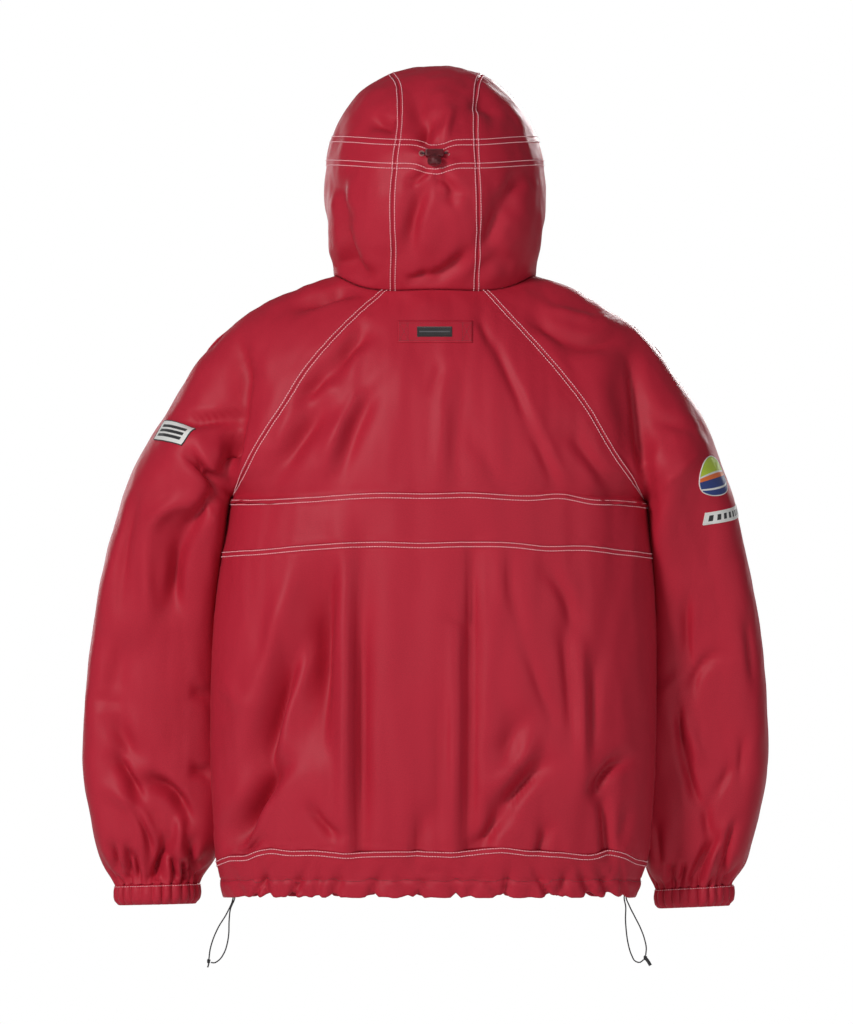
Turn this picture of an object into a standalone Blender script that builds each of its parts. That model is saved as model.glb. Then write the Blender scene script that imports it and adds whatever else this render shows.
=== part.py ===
"""Hooded raglan anorak pullover, filled out with no wearer, as one wall of cloth per cut piece.

The wearer faces +Y, so the back is towards -Y and the wearer's left is at -X. The origin is at the
middle of the neck, level with the back neck seam. All sizes below are millimetres.
"""

import math

import bpy
import numpy as np
from mathutils import Matrix, Vector
from mathutils.bvhtree import BVHTree

MM = 0.001

CLOTH = 1.4
SEAM_SHIFT = 0.2
UNDERARM_GAP = 0.5
CUFF_SEAM = 0.8
PATCH_GAP = 1.0
TOUCH = 0.3

# Neck seam: an ellipse seen from above, low at the front and lifted at the shoulders.
NECK_HALF_WIDTH = 115.0
NECK_BACK_Y = -78.0
NECK_FRONT_Y = 84.0
NECK_FRONT_Z = -50.0
NECK_SIDE_Z = 14.0
NECK_SHIFT = 0.6
NECK_MITRE = 0.6
RAGLAN_BACK_ANGLE = 30.3
RAGLAN_FRONT_ANGLE = 132.0

# Body below the arms: z, left half width, right half width, depth behind and before the side seams.
BODY = [
    (-230.0, 232.0, 240.6, 133.0, 130.0),
    (-241.0, 234.0, 242.4, 133.0, 130.0),
    (-300.0, 244.0, 249.0, 134.0, 131.5),
    (-367.0, 252.5, 253.0, 134.0, 133.0),
    (-471.0, 257.5, 254.0, 132.0, 134.0),
    (-561.0, 257.0, 252.0, 127.0, 131.0),
    (-615.0, 254.0, 248.5, 121.0, 126.0),
    (-650.0, 252.0, 245.0, 116.0, 121.0),
    (-676.0, 246.0, 236.0, 110.0, 115.0),
    (-710.0, 237.0, 222.0, 105.0, 110.0),
]
SIDE_SEAM_Y = -12.0
BODY_ROUNDNESS = 2.3

# Middle of the back and of the front above the arms: t, back y, back z, front y, front z,
# share of a full half ring that the back and the front row take.
MIDDLES = [
    (0.00, -78.0, 0.0, 84.0, -50.0, 0.5045, 0.743),
    (0.15, -103.0, -34.0, 95.0, -78.0, 0.52, 0.74),
    (0.30, -121.0, -69.0, 103.5, -106.0, 0.55, 0.74),
    (0.45, -133.0, -104.0, 109.5, -134.0, 0.60, 0.75),
    (0.60, -140.0, -140.0, 113.5, -163.0, 0.66, 0.77),
    (0.72, -143.0, -168.0, 115.5, -187.0, 0.74, 0.81),
    (0.82, -144.5, -191.0, 116.7, -206.0, 0.83, 0.87),
    (0.90, -145.0, -210.0, 117.4, -221.0, 0.91, 0.92),
    (0.96, -145.0, -224.0, 117.8, -232.0, 0.97, 0.97),
    (1.00, -145.0, -233.5, 118.0, -240.0, 1.00, 1.00),
]

# Sleeve cap, from the neck to the underarm: t, shoulder line x and z, back raglan seam x and z,
# front raglan seam x and z.
CAP_LEFT = [
    (0.00, 115.0, 14.0, 58.0, -1.0, 85.5, -30.0),
    (0.15, 156.0, 1.0, 91.5, -30.5, 108.0, -53.0),
    (0.30, 195.5, -17.0, 122.5, -62.0, 131.0, -81.0),
    (0.45, 231.5, -41.0, 151.0, -96.5, 153.0, -110.0),
    (0.60, 262.5, -71.0, 174.0, -134.0, 175.0, -143.0),
    (0.72, 283.0, -99.0, 194.0, -164.0, 193.0, -170.0),
    (0.82, 298.5, -123.5, 209.0, -189.5, 208.0, -193.0),
    (0.90, 310.5, -143.0, 219.5, -211.0, 219.5, -212.0),
    (0.96, 319.5, -158.0, 227.5, -227.5, 227.5, -227.5),
    (1.00, 325.5, -168.0, 234.0, -241.0, 234.0, -241.0),
]
CAP_RIGHT = [
    (0.00, 115.0, 14.0, 58.0, -1.0, 85.5, -30.0),
    (0.15, 156.0, 1.0, 88.0, -34.0, 108.0, -54.0),
    (0.30, 194.0, -20.5, 119.0, -67.5, 131.0, -82.0),
    (0.45, 230.5, -44.0, 148.5, -102.0, 154.0, -112.0),
    (0.60, 260.5, -75.5, 175.5, -138.0, 177.0, -146.0),
    (0.72, 280.0, -104.5, 193.5, -169.0, 196.0, -173.5),
    (0.82, 296.0, -128.5, 209.5, -195.5, 212.0, -197.0),
    (0.90, 307.5, -148.5, 224.0, -216.0, 225.5, -216.5),
    (0.96, 314.5, -164.5, 234.5, -232.5, 235.5, -232.5),
    (1.00, 319.0, -175.0, 243.0, -245.0, 243.0, -245.0),
]
# t, y of the shoulder line and of the sleeve's inner side, y of the back and of the front raglan
# seam, and how far in degrees the cloth wraps from the shoulder line to each of the two seams.
CAP_DEPTH = [
    (0.00, 3.0, 3.0, -67.0, 57.2, 59.7, 42.0),
    (0.15, 2.0, 0.0, -86.0, 76.0, 58.0, 48.0),
    (0.30, 0.0, -4.0, -99.0, 88.0, 57.0, 54.0),
    (0.45, -1.0, -7.0, -106.0, 92.0, 58.0, 60.0),
    (0.60, 0.0, -9.0, -108.0, 88.0, 63.0, 66.0),
    (0.72, 1.0, -10.0, -105.0, 82.0, 74.0, 75.0),
    (0.82, 3.0, -11.0, -97.0, 73.0, 94.0, 93.0),
    (0.90, 5.0, -11.0, -80.0, 56.0, 126.0, 124.0),
    (0.96, 7.0, -12.0, -49.5, 29.0, 154.0, 151.0),
    (1.00, 8.0, -12.0, -12.0, -12.0, 180.0, 180.0),
]

# Sleeve below the arm: row, outer x and z, inner x and z.
ARM_LEFT = [
    (0.0, 325.5, -168.0, 234.0, -241.0),
    (1.0, 345.0, -205.0, 241.0, -263.0),
    (2.0, 358.0, -240.0, 243.0, -287.0),
    (3.0, 373.5, -285.0, 245.0, -319.0),
    (4.0, 385.5, -335.0, 247.0, -360.0),
    (5.0, 394.0, -385.0, 247.0, -403.0),
    (6.0, 400.0, -435.0, 246.0, -448.0),
    (7.0, 404.5, -485.0, 244.0, -493.0),
    (8.0, 406.0, -530.0, 241.0, -536.0),
    (9.0, 403.5, -572.0, 239.0, -576.0),
    (10.0, 396.5, -613.0, 240.0, -613.0),
    (11.0, 390.0, -646.0, 247.0, -645.0),
    (12.0, 382.5, -667.0, 256.0, -664.0),
    (13.0, 370.0, -685.0, 269.0, -682.0),
]
ARM_RIGHT = [
    (0.0, 319.0, -175.0, 243.0, -245.0),
    (1.0, 332.0, -207.0, 249.0, -267.0),
    (2.0, 345.0, -240.0, 250.0, -289.0),
    (3.0, 357.0, -285.0, 249.0, -320.0),
    (4.0, 367.5, -335.0, 248.0, -361.0),
    (5.0, 377.0, -385.0, 246.0, -403.0),
    (6.0, 381.5, -435.0, 243.0, -448.0),
    (7.0, 384.5, -485.0, 240.0, -493.0),
    (8.0, 385.5, -528.0, 237.0, -534.0),
    (9.0, 382.5, -570.0, 235.0, -576.0),
    (10.0, 375.0, -612.0, 236.0, -615.0),
    (11.0, 366.5, -650.0, 241.0, -650.0),
    (12.0, 359.0, -669.0, 247.0, -671.0),
    (13.0, 348.0, -684.0, 257.0, -689.0),
]
# row, y of the sleeve's outer and of its inner line, half of its depth
ARM_DEPTH = [
    (0.0, 8.0, -12.0, 85.0),
    (1.0, 23.0, 6.0, 85.0),
    (2.0, 37.0, 23.0, 85.0),
    (3.0, 49.0, 40.0, 84.0),
    (4.0, 58.0, 53.0, 82.0),
    (5.0, 64.5, 62.0, 79.0),
    (6.0, 68.5, 67.5, 76.0),
    (7.0, 71.0, 71.0, 73.0),
    (8.0, 72.0, 72.0, 70.0),
    (9.0, 72.0, 72.0, 67.0),
    (10.0, 71.0, 71.0, 63.0),
    (11.0, 69.0, 69.0, 57.0),
    (12.0, 67.0, 67.0, 49.0),
    (13.0, 65.0, 65.0, 40.0),
]
CUFF_DEPTH = 22.0
CUFF_PLEATS = 24
PLEAT_DEPTH = 2.4

# Fold where the hanging sleeve leaves the cap: t, share of the way from the back seam to the
# shoulder line, depth.
ARM_FOLD = [
    (0.00, 0.95, 0.0),
    (0.40, 0.95, 0.0),
    (0.50, 0.74, 8.0),
    (0.60, 0.50, 15.0),
    (0.72, 0.38, 18.0),
    (0.82, 0.28, 15.0),
    (0.90, 0.18, 8.0),
    (1.00, 0.10, 0.0),
]
CLOSED_CAP = 0.985
MITRE_STEP = 0.02
FOLD_INNER = 0.2
FOLD_OUTER = 0.36

# Back view height of the two band seams and of the hem seam: middle, and the drop at the sides.
BAND_TOP = (-233.5, 7.5, 11.5, 2.0)
BAND_FOOT = (-290.5, 10.5, 12.0, 2.5)
HEM_TOP = (-645.0, 11.0, 11.0, 6.0)
HEM_FOOT = -695.0
HEM_GATHER = 4.0

# Largest soft folds of the back: x and z where each begins and ends, half width, depth.
BACK_FOLDS = [
    (-121.0, -356.0, -143.0, -454.0, 22.0, 5.0),
    (-169.0, -437.0, -194.0, -536.0, 24.0, 6.0),
    (-79.0, -357.0, -79.0, -655.0, 26.0, 4.0),
    (12.0, -460.0, 12.0, -700.0, 22.0, 5.0),
    (50.0, -219.0, 28.0, -583.0, 24.0, 6.0),
    (145.0, -328.0, 172.0, -465.0, 22.0, 5.0),
    (123.0, -559.0, 75.0, -609.0, 22.0, 5.0),
    (-63.0, -14.0, -152.0, -116.0, 20.0, 5.0),
    (-89.0, -140.0, -118.0, -224.0, 22.0, 4.0),
    (78.0, -94.0, 132.0, -217.0, 24.0, 4.0),
]

# Hood side profile along its middle: s, y, z, half width of the arch there, and the half width of
# the middle panel to the left and to the right.
HOOD = [
    (0.00, -78.0, 0.0, 115.0, 48.3, 47.0),
    (0.14, -112.0, 60.0, 118.0, 48.3, 50.0),
    (0.28, -122.0, 120.0, 122.0, 48.3, 49.0),
    (0.44, -100.0, 190.0, 124.0, 41.5, 46.0),
    (0.58, -50.0, 240.0, 126.5, 42.0, 47.0),
    (0.70, 0.0, 257.0, 126.0, 49.0, 52.0),
    (0.85, 60.0, 250.0, 119.0, 49.0, 51.0),
    (1.00, 105.0, 225.0, 111.0, 48.0, 49.0),
]
CROWN_FULLNESS = 0.022
THROAT_LOW = (4.0, 84.0, -50.0)
THROAT_HIGH = (62.0, 98.0, 15.0)

# Trim is landed on the cloth along a line that starts clear of it, behind the garment.
PROBE_Y = -120.0
PROBE_REACH = 40.0
SLEEVE_CORE = (280.0, 0.0, 40.0)
ROW_STEP = 0.1
TURN_STEP = 0.02

TOGGLE_X = -0.7
TOGGLE_Z = 154.5
TOGGLE_ROUNDING = 1.5
BUTTON_LENGTH = 11.0
EYELET_SPREAD = 14.6
EYELET_RISE = 1.0
TOGGLE_PROBE = 10.0
CORD_SINK = 0.4
CORD_LIFT = 1.6
CORD_TOP = 2.8
TOGGLE_CORD_STEP = 1.8
LOOP_EXIT_Z = -687.0
STRAND_APART = 1.05
HEM_EYELET_LIFT = {"left": 5.4, "right": 4.2}
GATHER_PITCH = 7.0
LOOP_LEAD = 2.0
TOGGLE_SIZE = (21.0, 9.0, 8.0)
BUTTON_RADIUS = 8.2
BUTTON_ROUNDING = 4.6
EYELET_RADIUS = 3.4
HOOD_EYELET_RADIUS = 2.7
EYELET_WIRE = 0.9
TAB = (0.0, -48.5, 86.0, 25.0)
LABEL = (-0.5, -48.5, 40.0, 11.5)
PATCH_THICKNESS = 1.0
LABEL_THICKNESS = 0.8
# name, side, sleeve row, turn, upward direction in the back view, width and height, cells,
# roundness, finish
ARM_PATCHES = [
    ("arm_patch_left", -1, 0.94, -0.29, (0.2, 0.98), (62.0, 27.0), (14, 5), 0.25, "white"),
    ("arm_patch_right", 1, 2.0, -0.25, (-0.3, 0.95), (58.0, 46.0), (12, 7), 1.0, "yellow"),
    ("arm_tag_right", 1, 3.35, -0.25, (-0.3, 0.95), (62.0, 13.0), (14, 3), 0.0, "white"),
]

# Elastic loops at the hem in the back view: x and z along each strand, from the hem down.
LOOP_LEFT_A = [
    (-232.0, -698.0), (-239.0, -716.0), (-249.2, -733.0), (-255.3, -747.0), (-258.6, -759.0),
    (-259.7, -768.7),
]
LOOP_LEFT_B = [
    (-230.0, -697.0), (-235.2, -712.0), (-236.6, -726.0), (-237.0, -740.0), (-238.6, -750.6),
    (-242.0, -761.2), (-248.4, -770.3), (-254.0, -773.4), (-257.4, -772.8),
]
LOOP_RIGHT_A = [
    (217.5, -697.0), (219.2, -709.0), (218.9, -722.4), (219.8, -736.5), (221.8, -750.6),
    (225.7, -764.0), (230.2, -771.6), (235.2, -773.0), (239.9, -769.6),
]
LOOP_RIGHT_B = [
    (219.5, -697.0), (223.4, -708.0), (230.2, -721.5), (236.3, -733.8), (240.8, -746.2),
    (242.8, -756.7), (242.1, -764.9),
]
LOOPS = {"left": (LOOP_LEFT_A, LOOP_LEFT_B), "right": (LOOP_RIGHT_A, LOOP_RIGHT_B)}
KNOTS = {"left": (-259.8, -771.4), "right": (241.8, -767.6)}
LOOP_Y = {"left": -34.0, "right": -26.0}
CORD_RADIUS = 0.8
CORD_STEP = 4.5
KNOT_RADIUS = 2.4

# Grids of the walls.
CAP_ROWS = [0.0, 0.15, 0.3, 0.45, 0.6, 0.72, 0.82, 0.9, 0.96, 1.0]
ARM_ROWS = [2.0, 3.0, 4.0, 5.0, 6.3, 7.7, 9.0, 10.3, 11.4, 12.2]
PLEAT_ROWS = [(12.8, 0.45), (13.4, 0.8), (14.0, 1.0)]
SLEEVE_COLUMNS = 24
BACK_COLUMNS = 28
FRONT_COLUMNS = 24
BAND_ROWS = 2
LOWER_ROWS = 7
FRONT_ROWS = 9
CUFF_ROWS = 2
HOOD_ROWS = [0.0, 0.07, 0.14, 0.21, 0.28, 0.36, 0.44, 0.51, 0.58, 0.64, 0.7, 0.78, 0.85, 0.93, 1.0]
HEM_SHARES = [0.35, 0.7, 1.0]
HEM_RIPPLE = 2.0
CUFF_DRAW = 0.02
CUFF_LEVEL = 0.3

SHELL_RED = (0.42, 0.025, 0.045)
TRIM_BLACK = (0.012, 0.012, 0.013)
TOGGLE_RED = (0.13, 0.012, 0.02)
EYELET_ROSE = (0.55, 0.22, 0.22)
PATCH_WHITE = (0.8, 0.8, 0.78)
PATCH_YELLOW = (0.75, 0.62, 0.04)


def spline(table):
    """A function that runs smoothly through a table whose first column is the key."""
    table = sorted(table)
    keys = np.array([row[0] for row in table], float)
    values = np.array([row[1:] for row in table], float)
    slopes = np.gradient(values, keys, axis=0)

    def at(key):
        i = int(np.clip(np.searchsorted(keys, key) - 1, 0, len(keys) - 2))
        span = keys[i + 1] - keys[i]
        u = (key - keys[i]) / span
        return (
            values[i] * (1 + 2 * u) * (1 - u) ** 2
            + slopes[i] * span * u * (1 - u) ** 2
            + values[i + 1] * u * u * (3 - 2 * u)
            + slopes[i + 1] * span * u * u * (u - 1)
        )

    return at


def ease(low, high, value):
    """0 below low, 1 above high and smooth between."""
    u = min(max((value - low) / (high - low), 0.0), 1.0)
    return u * u * (3 - 2 * u)


body_at = spline(BODY)
middle_at = spline(MIDDLES)
cap_at = {-1: spline(CAP_LEFT), 1: spline(CAP_RIGHT)}
cap_depth_at = spline(CAP_DEPTH)
arm_at = {-1: spline(ARM_LEFT), 1: spline(ARM_RIGHT)}
arm_depth_at = spline(ARM_DEPTH)
fold_at = spline(ARM_FOLD)
hood_at = spline(HOOD)


def neck_point(angle):
    """Point of the neck seam; the angle in degrees is 0 at the back and 180 at the front."""
    a = math.radians(angle)
    half_depth = (NECK_FRONT_Y - NECK_BACK_Y) / 2
    lift = NECK_SIDE_Z - NECK_FRONT_Z / 2
    return np.array([
        NECK_HALF_WIDTH * math.sin(a),
        NECK_BACK_Y + half_depth * (1 - math.cos(a)),
        NECK_FRONT_Z / 2 * (1 - math.cos(a)) + lift * math.sin(a) ** 4,
    ])


def neck_mitre(angle):
    """Direction from the body into the hood, halfway between the two walls."""
    a = math.radians(angle)
    inward = -NECK_MITRE * math.sin(a) ** 2
    way = np.array([inward * math.sin(a), -inward * math.cos(a), 1.0])
    return way / np.linalg.norm(way)


def sleeve_point(side, row, turn):
    """Point of a sleeve. Rows 0 to 1 are the cap, rows past 1 the arm; turn runs from -1 at the
    back seam over 0 at the outer line to 1 at the front seam."""
    if row <= 1.0:
        top_x, top_z, back_x, back_z, front_x, front_z = cap_at[side](row)
        top_y, inner_y, back_y, front_y, back_wrap, front_wrap = cap_depth_at(row)
        wrap = math.radians(back_wrap if turn < 0 else front_wrap)
        seam_x, seam_y, seam_z = (back_x, back_y, back_z) if turn < 0 else (front_x, front_y, front_z)
        reach = abs(seam_y - inner_y) / max(math.sin(wrap), 1e-6)
        if row > CLOSED_CAP:
            reach = ARM_DEPTH[0][3]
    else:
        top_x, top_z, seam_x, seam_z = arm_at[side](row - 1.0)
        top_y, inner_y, reach = arm_depth_at(row - 1.0)
        wrap = math.pi
    psi = turn * wrap
    share = (1 - math.cos(psi)) / (1 - math.cos(wrap))
    point = np.array([
        side * (top_x + (seam_x - top_x) * share),
        top_y + (inner_y - top_y) * share + reach * math.sin(psi),
        top_z + (seam_z - top_z) * share,
    ])
    if row < 1.0:
        angle = 90.0 + math.degrees(psi)
        start = cap_at[side](0.0)
        start_seam = start[2:4] if turn < 0 else start[4:6]
        start_wrap = math.radians(RAGLAN_FRONT_ANGLE - 90 if turn >= 0 else 90 - RAGLAN_BACK_ANGLE)
        start_psi = turn * start_wrap
        start_share = (1 - math.cos(start_psi)) / (1 - math.cos(start_wrap))
        neck = neck_point(90.0 + math.degrees(start_psi))
        plain_x = start[0] + (start_seam[0] - start[0]) * start_share
        plain_z = start[1] + (start_seam[1] - start[1]) * start_share
        fade = (1 - row) ** 4
        point[0] += side * (neck[0] - plain_x) * fade
        point[2] += (neck[2] - plain_z) * fade
        if turn < 0:
            point[1] += arm_fold(row, 1 - share)
    return point


def arm_fold(row, way):
    """Depth of the fold between cap and hanging sleeve; way runs from the seam to the outer line."""
    centre, depth = fold_at(row)
    spread = FOLD_INNER if way < centre else FOLD_OUTER
    return depth * math.exp(-(((way - centre) / spread) ** 2)) * ease(0.0, 0.06, way)


def raglan_mitre(side, row, front):
    """Direction from the body panel into the sleeve, square to the raglan seam in the back view."""
    turn = 1.0 if front else -1.0
    ahead = sleeve_point(side, min(row + MITRE_STEP, 1.0), turn)
    behind = sleeve_point(side, max(row - MITRE_STEP, 0.0), turn)
    run = ahead - behind
    way = np.array([-side * run[2], 0.0, side * run[0]])
    way = way * (side * np.sign(way[0]) if way[0] else 1.0)
    return way / np.linalg.norm(way)


def back_fold(x, z):
    """How far the largest soft folds push the back inwards at a point."""
    push = 0.0
    for x0, z0, x1, z1, width, depth in BACK_FOLDS:
        run = np.array([x1 - x0, z1 - z0])
        at = np.array([x - x0, z - z0])
        length = math.hypot(*run)
        along = float(at @ run) / length**2
        across = abs(at[0] * run[1] - at[1] * run[0]) / length
        ends = ease(-0.15, 0.2, along) * (1 - ease(0.8, 1.15, along))
        push += depth * ends * math.exp(-((across / width) ** 2))
    return push


def yoke_point(facing, row, q):
    """Point of the back (facing -1) or front (facing 1) above the arms; q runs from -1 to 1."""
    side = -1 if q < 0 else 1
    back_y, back_z, front_y, front_z, back_share, front_share = middle_at(row)
    mid_y, mid_z, share = (back_y, back_z, back_share) if facing < 0 else (front_y, front_z, front_share)
    power = 2 / (2.0 + (BODY_ROUNDNESS - 2.0) * row)
    seam = sleeve_point(side, row, facing)
    widest = math.asin(min(share, 1.0) ** (1 / power))
    a = abs(q) * widest
    fx = math.sin(a) ** power / share
    fy = (1 - max(math.cos(a), 0.0) ** power) / (1 - max(math.cos(widest), 0.0) ** power)
    fz = (math.sin(a) / math.sin(widest)) ** 2
    point = np.array([seam[0] * fx, mid_y + (seam[1] - mid_y) * fy, mid_z + (seam[2] - mid_z) * fz])
    neck_span = RAGLAN_BACK_ANGLE if facing < 0 else 180.0 - RAGLAN_FRONT_ANGLE
    neck = neck_point(abs(q) * neck_span if facing < 0 else 180.0 - abs(q) * neck_span)
    start = sleeve_point(side, 0.0, facing)
    start_y, start_z = middle_at(0.0)[0:2] if facing < 0 else middle_at(0.0)[2:4]
    start_fx = math.sin(abs(q) * math.radians(neck_span)) / math.sin(math.radians(neck_span))
    point[2] += (neck[2] - start_z - (start[2] - start_z) * start_fx**2) * (1 - row) ** 4
    if abs(q) == 1:
        point -= raglan_mitre(side, row, facing > 0) * SEAM_SHIFT
    point[1] += facing * SEAM_SHIFT * ease(0.8, 1.0, row)
    if facing < 0:
        point[1] += back_fold(point[0], point[2]) * (1 - abs(q) ** 6)
    return point


def body_point(facing, z, q, gap=SEAM_SHIFT):
    """Point of the back or front below the arms at height z."""
    left, right, behind, before = body_at(z)
    half = left if q < 0 else right
    depth = behind if facing < 0 else before
    power = 2 / BODY_ROUNDNESS
    a = abs(q) * math.pi / 2
    x = math.copysign(half * math.sin(a) ** power, q)
    y = SIDE_SEAM_Y + facing * (gap + depth * max(math.cos(a), 0.0) ** power)
    if facing < 0:
        y += back_fold(x, z) * (1 - abs(q) ** 6)
    return np.array([x, y, z])


def seam_height(line, q):
    """Height of a seam that drops from the middle towards the sides."""
    middle, left, right, power = line
    a = math.sin(abs(q) * math.pi / 2)
    return middle - (left if q < 0 else right) * a**power


def hood_point(s, angle):
    """Point of the hood: s runs from the neck seam over the crown to the face edge, the angle in
    degrees from the middle to the throat."""
    y, z, width = hood_at(s)[:3]
    low = np.array(THROAT_LOW)
    high = np.array(THROAT_HIGH)
    throat = low + (high - low) * s
    top = np.array([0.0, y, z])
    foot = np.array([0.0, throat[1], throat[2]])
    last = math.pi - math.asin(throat[0] / width)
    radius = np.linalg.norm(top - foot) / (1 - math.cos(last))
    way = (top - foot) / np.linalg.norm(top - foot)
    a = math.radians(angle)
    point = top - way * radius * (1 - math.cos(a))
    lift = (NECK_SIDE_Z - NECK_FRONT_Z / 2) * (1 - s) ** 3
    shoulder = 1 + CROWN_FULLNESS * math.sin(2 * a) ** 2 * ease(0.15, 0.6, s) * (math.cos(a) > 0)
    point[0] = width * math.sin(a)
    point += (point - top + way * radius) * (shoulder - 1)
    point[2] += lift * math.sin(a) ** 4
    return point


def hood_last(s):
    """Angle in degrees at which the arch s ends at the throat."""
    width = hood_at(s)[2]
    throat = THROAT_LOW[0] + (THROAT_HIGH[0] - THROAT_LOW[0]) * s
    return 180.0 - math.degrees(math.asin(throat / width))


def hood_seam(s, side):
    """Angle in degrees of the seam between the middle and a side of the hood."""
    width, left, right = hood_at(s)[2:5]
    return math.degrees(math.asin((left if side < 0 else right) / width))


def material(name, colour, roughness, metallic=0.0):
    """A plain finish."""
    made = bpy.data.materials.new(name)
    made.use_nodes = True
    shader = made.node_tree.nodes["Principled BSDF"]
    shader.inputs["Base Color"].default_value = (*colour, 1.0)
    shader.inputs["Roughness"].default_value = roughness
    shader.inputs["Metallic"].default_value = metallic
    return made


def place(name, mesh, finish):
    """Put a mesh in the garment's collection under its own name."""
    thing = bpy.data.objects.new(name, mesh)
    thing.data.materials.append(finish)
    bpy.data.collections["anorak_pullover"].objects.link(thing)
    return thing


def loft(name, rows, finish, round_from=None, wall=CLOTH):
    """A wall of cloth through rows of points. Rows from the one named on are closed rings, and a row
    may have twice the points of the one before."""
    points = []
    starts = []
    for row in rows:
        starts.append(len(points))
        points.extend(row)
    faces = []
    for i in range(len(rows) - 1):
        a, b = starts[i], starts[i + 1]
        n, m = len(rows[i]), len(rows[i + 1])
        steps = n if round_from is not None and i >= round_from else n - 1
        for j in range(steps):
            k = (j + 1) % n
            if m >= 2 * n - 1:
                middle = b + 2 * j + 1
                faces += [(a + j, b + 2 * j, middle), (a + j, middle, a + k)]
                faces.append((a + k, middle, b + (2 * j + 2) % m))
            else:
                faces.append((a + j, b + j, b + (j + 1) % m, a + k))
    mesh = bpy.data.meshes.new(name)
    mesh.from_pydata([tuple(p * MM) for p in points], [], faces)
    mesh.update()
    mesh.shade_smooth()
    thing = place(name, mesh, finish)
    shell = thing.modifiers.new("cloth wall", "SOLIDIFY")
    shell.thickness = wall * MM
    shell.offset = 0.0
    return thing


def spaced(first, last, count):
    """Evenly spaced values, both ends included."""
    return [first + (last - first) * i / (count - 1) for i in range(count)]


def below_neck(point, angle):
    """A point of the body or a sleeve, parted from the hood at the neck seam."""
    return point - neck_mitre(angle) * NECK_SHIFT


def yoke_rows(facing, rows, columns):
    """Rows of the back or front above the arms."""
    made = []
    for row in rows:
        line = []
        for q in spaced(-1.0, 1.0, columns + 1):
            point = yoke_point(facing, row, q)
            if row == 0:
                span = RAGLAN_BACK_ANGLE if facing < 0 else 180.0 - RAGLAN_FRONT_ANGLE
                angle = q * span if facing < 0 else 180.0 - q * span
                point = below_neck(point, angle)
            line.append(point)
        made.append(line)
    return made


def body_rows(facing, heights, columns):
    """Rows of the back or front below the arms; heights gives each row's height for a q."""
    return [[body_point(facing, height(q), q) for q in spaced(-1.0, 1.0, columns + 1)] for height in heights]


def between(top, foot, share, gap=SEAM_SHIFT):
    """Height of a row between two seams, as a function of q."""
    def height(q):
        high = seam_height(top, q) - gap
        low = seam_height(foot, q) + gap
        return high + (low - high) * share
    return height


def back_panels(cloth):
    """Back yoke, band and lower back, all with their columns in line."""
    upper = yoke_rows(-1, CAP_ROWS, BACK_COLUMNS)
    for point in upper[-1]:
        point[2] += SEAM_SHIFT
    panels = [loft("back_upper", upper, cloth)]
    band = [between(BAND_TOP, BAND_FOOT, share) for share in spaced(0, 1, BAND_ROWS + 1)]
    panels.append(loft("back_band", body_rows(-1, band, BACK_COLUMNS), cloth))
    lower = [between(BAND_FOOT, HEM_TOP, share) for share in spaced(0, 1, LOWER_ROWS + 1)]
    panels.append(loft("back_lower", body_rows(-1, lower, BACK_COLUMNS), cloth))
    return panels


def front_height(share):
    """Height of a front row below the arms."""
    def height(q):
        high = yoke_point(1, 1.0, q)[2]
        low = seam_height(HEM_TOP, q) + SEAM_SHIFT
        return high + (low - high) * share
    return height


def front_panel(cloth):
    """Front in one piece, its rows in line with the back's at the side seams."""
    upper = yoke_rows(1, CAP_ROWS, FRONT_COLUMNS)
    lower = [front_height(share) for share in spaced(0, 1, FRONT_ROWS + 1)[1:]]
    return loft("front", upper + body_rows(1, lower, FRONT_COLUMNS), cloth)


def hem_casing(cloth, back, front):
    """Hem tunnel: its top follows the panels' lower edges, and its gathers deepen downwards."""
    back_edge = [np.array(v.co) / MM for v in back.data.vertices][-(BACK_COLUMNS + 1):]
    front_edge = [np.array(v.co) / MM for v in front.data.vertices][-(FRONT_COLUMNS + 1):]
    ring = back_edge[:-1] + front_edge[:0:-1]
    qs = [(-1, q) for q in spaced(-1, 1, BACK_COLUMNS + 1)[:-1]]
    qs += [(1, q) for q in spaced(-1, 1, FRONT_COLUMNS + 1)[:0:-1]]
    drop = np.array([0.0, 0.0, -2 * SEAM_SHIFT])
    rows = [[]]
    for point, after in zip(ring, ring[1:] + ring[:1]):
        rows[0] += [point + drop, (point + after) / 2 + drop]
    centre = np.array([0.0, SIDE_SEAM_Y, 0.0])
    for share in HEM_SHARES:
        row = []
        for j, (facing, q) in enumerate(qs):
            step = 2 / (BACK_COLUMNS if facing < 0 else FRONT_COLUMNS)
            for half in range(2):
                fine = q + half * step / 2 * (-facing)
                top = seam_height(HEM_TOP, fine)
                wave = gather_wave(2 * j + half)
                z = top + (HEM_FOOT - top) * share + HEM_RIPPLE * wave * share**2
                point = body_point(facing, z, fine, 0.0)
                way = point - centre
                way[2] = 0.0
                row.append(point + way / np.linalg.norm(way) * HEM_GATHER * wave * share**1.3)
        rows.append(row)
    return loft("hem_casing", rows, cloth, round_from=0)


def gather_wave(count):
    """Out and in by turns, and uneven from one gather to the next."""
    return (-1) ** count * (0.72 + 0.28 * math.sin(2.3 * count))


def pleated(side, row, depth, columns):
    """A ring of the sleeve with its gathers out and in by turns."""
    line = []
    turns = [-1 + 2 * j / columns for j in range(columns)]
    ring = [sleeve_point(side, row, turn) for turn in turns]
    centre = sum(ring) / columns
    for j, point in enumerate(ring):
        way = point - centre
        line.append(point + way / np.linalg.norm(way) * depth * gather_wave(j))
    return line


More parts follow.
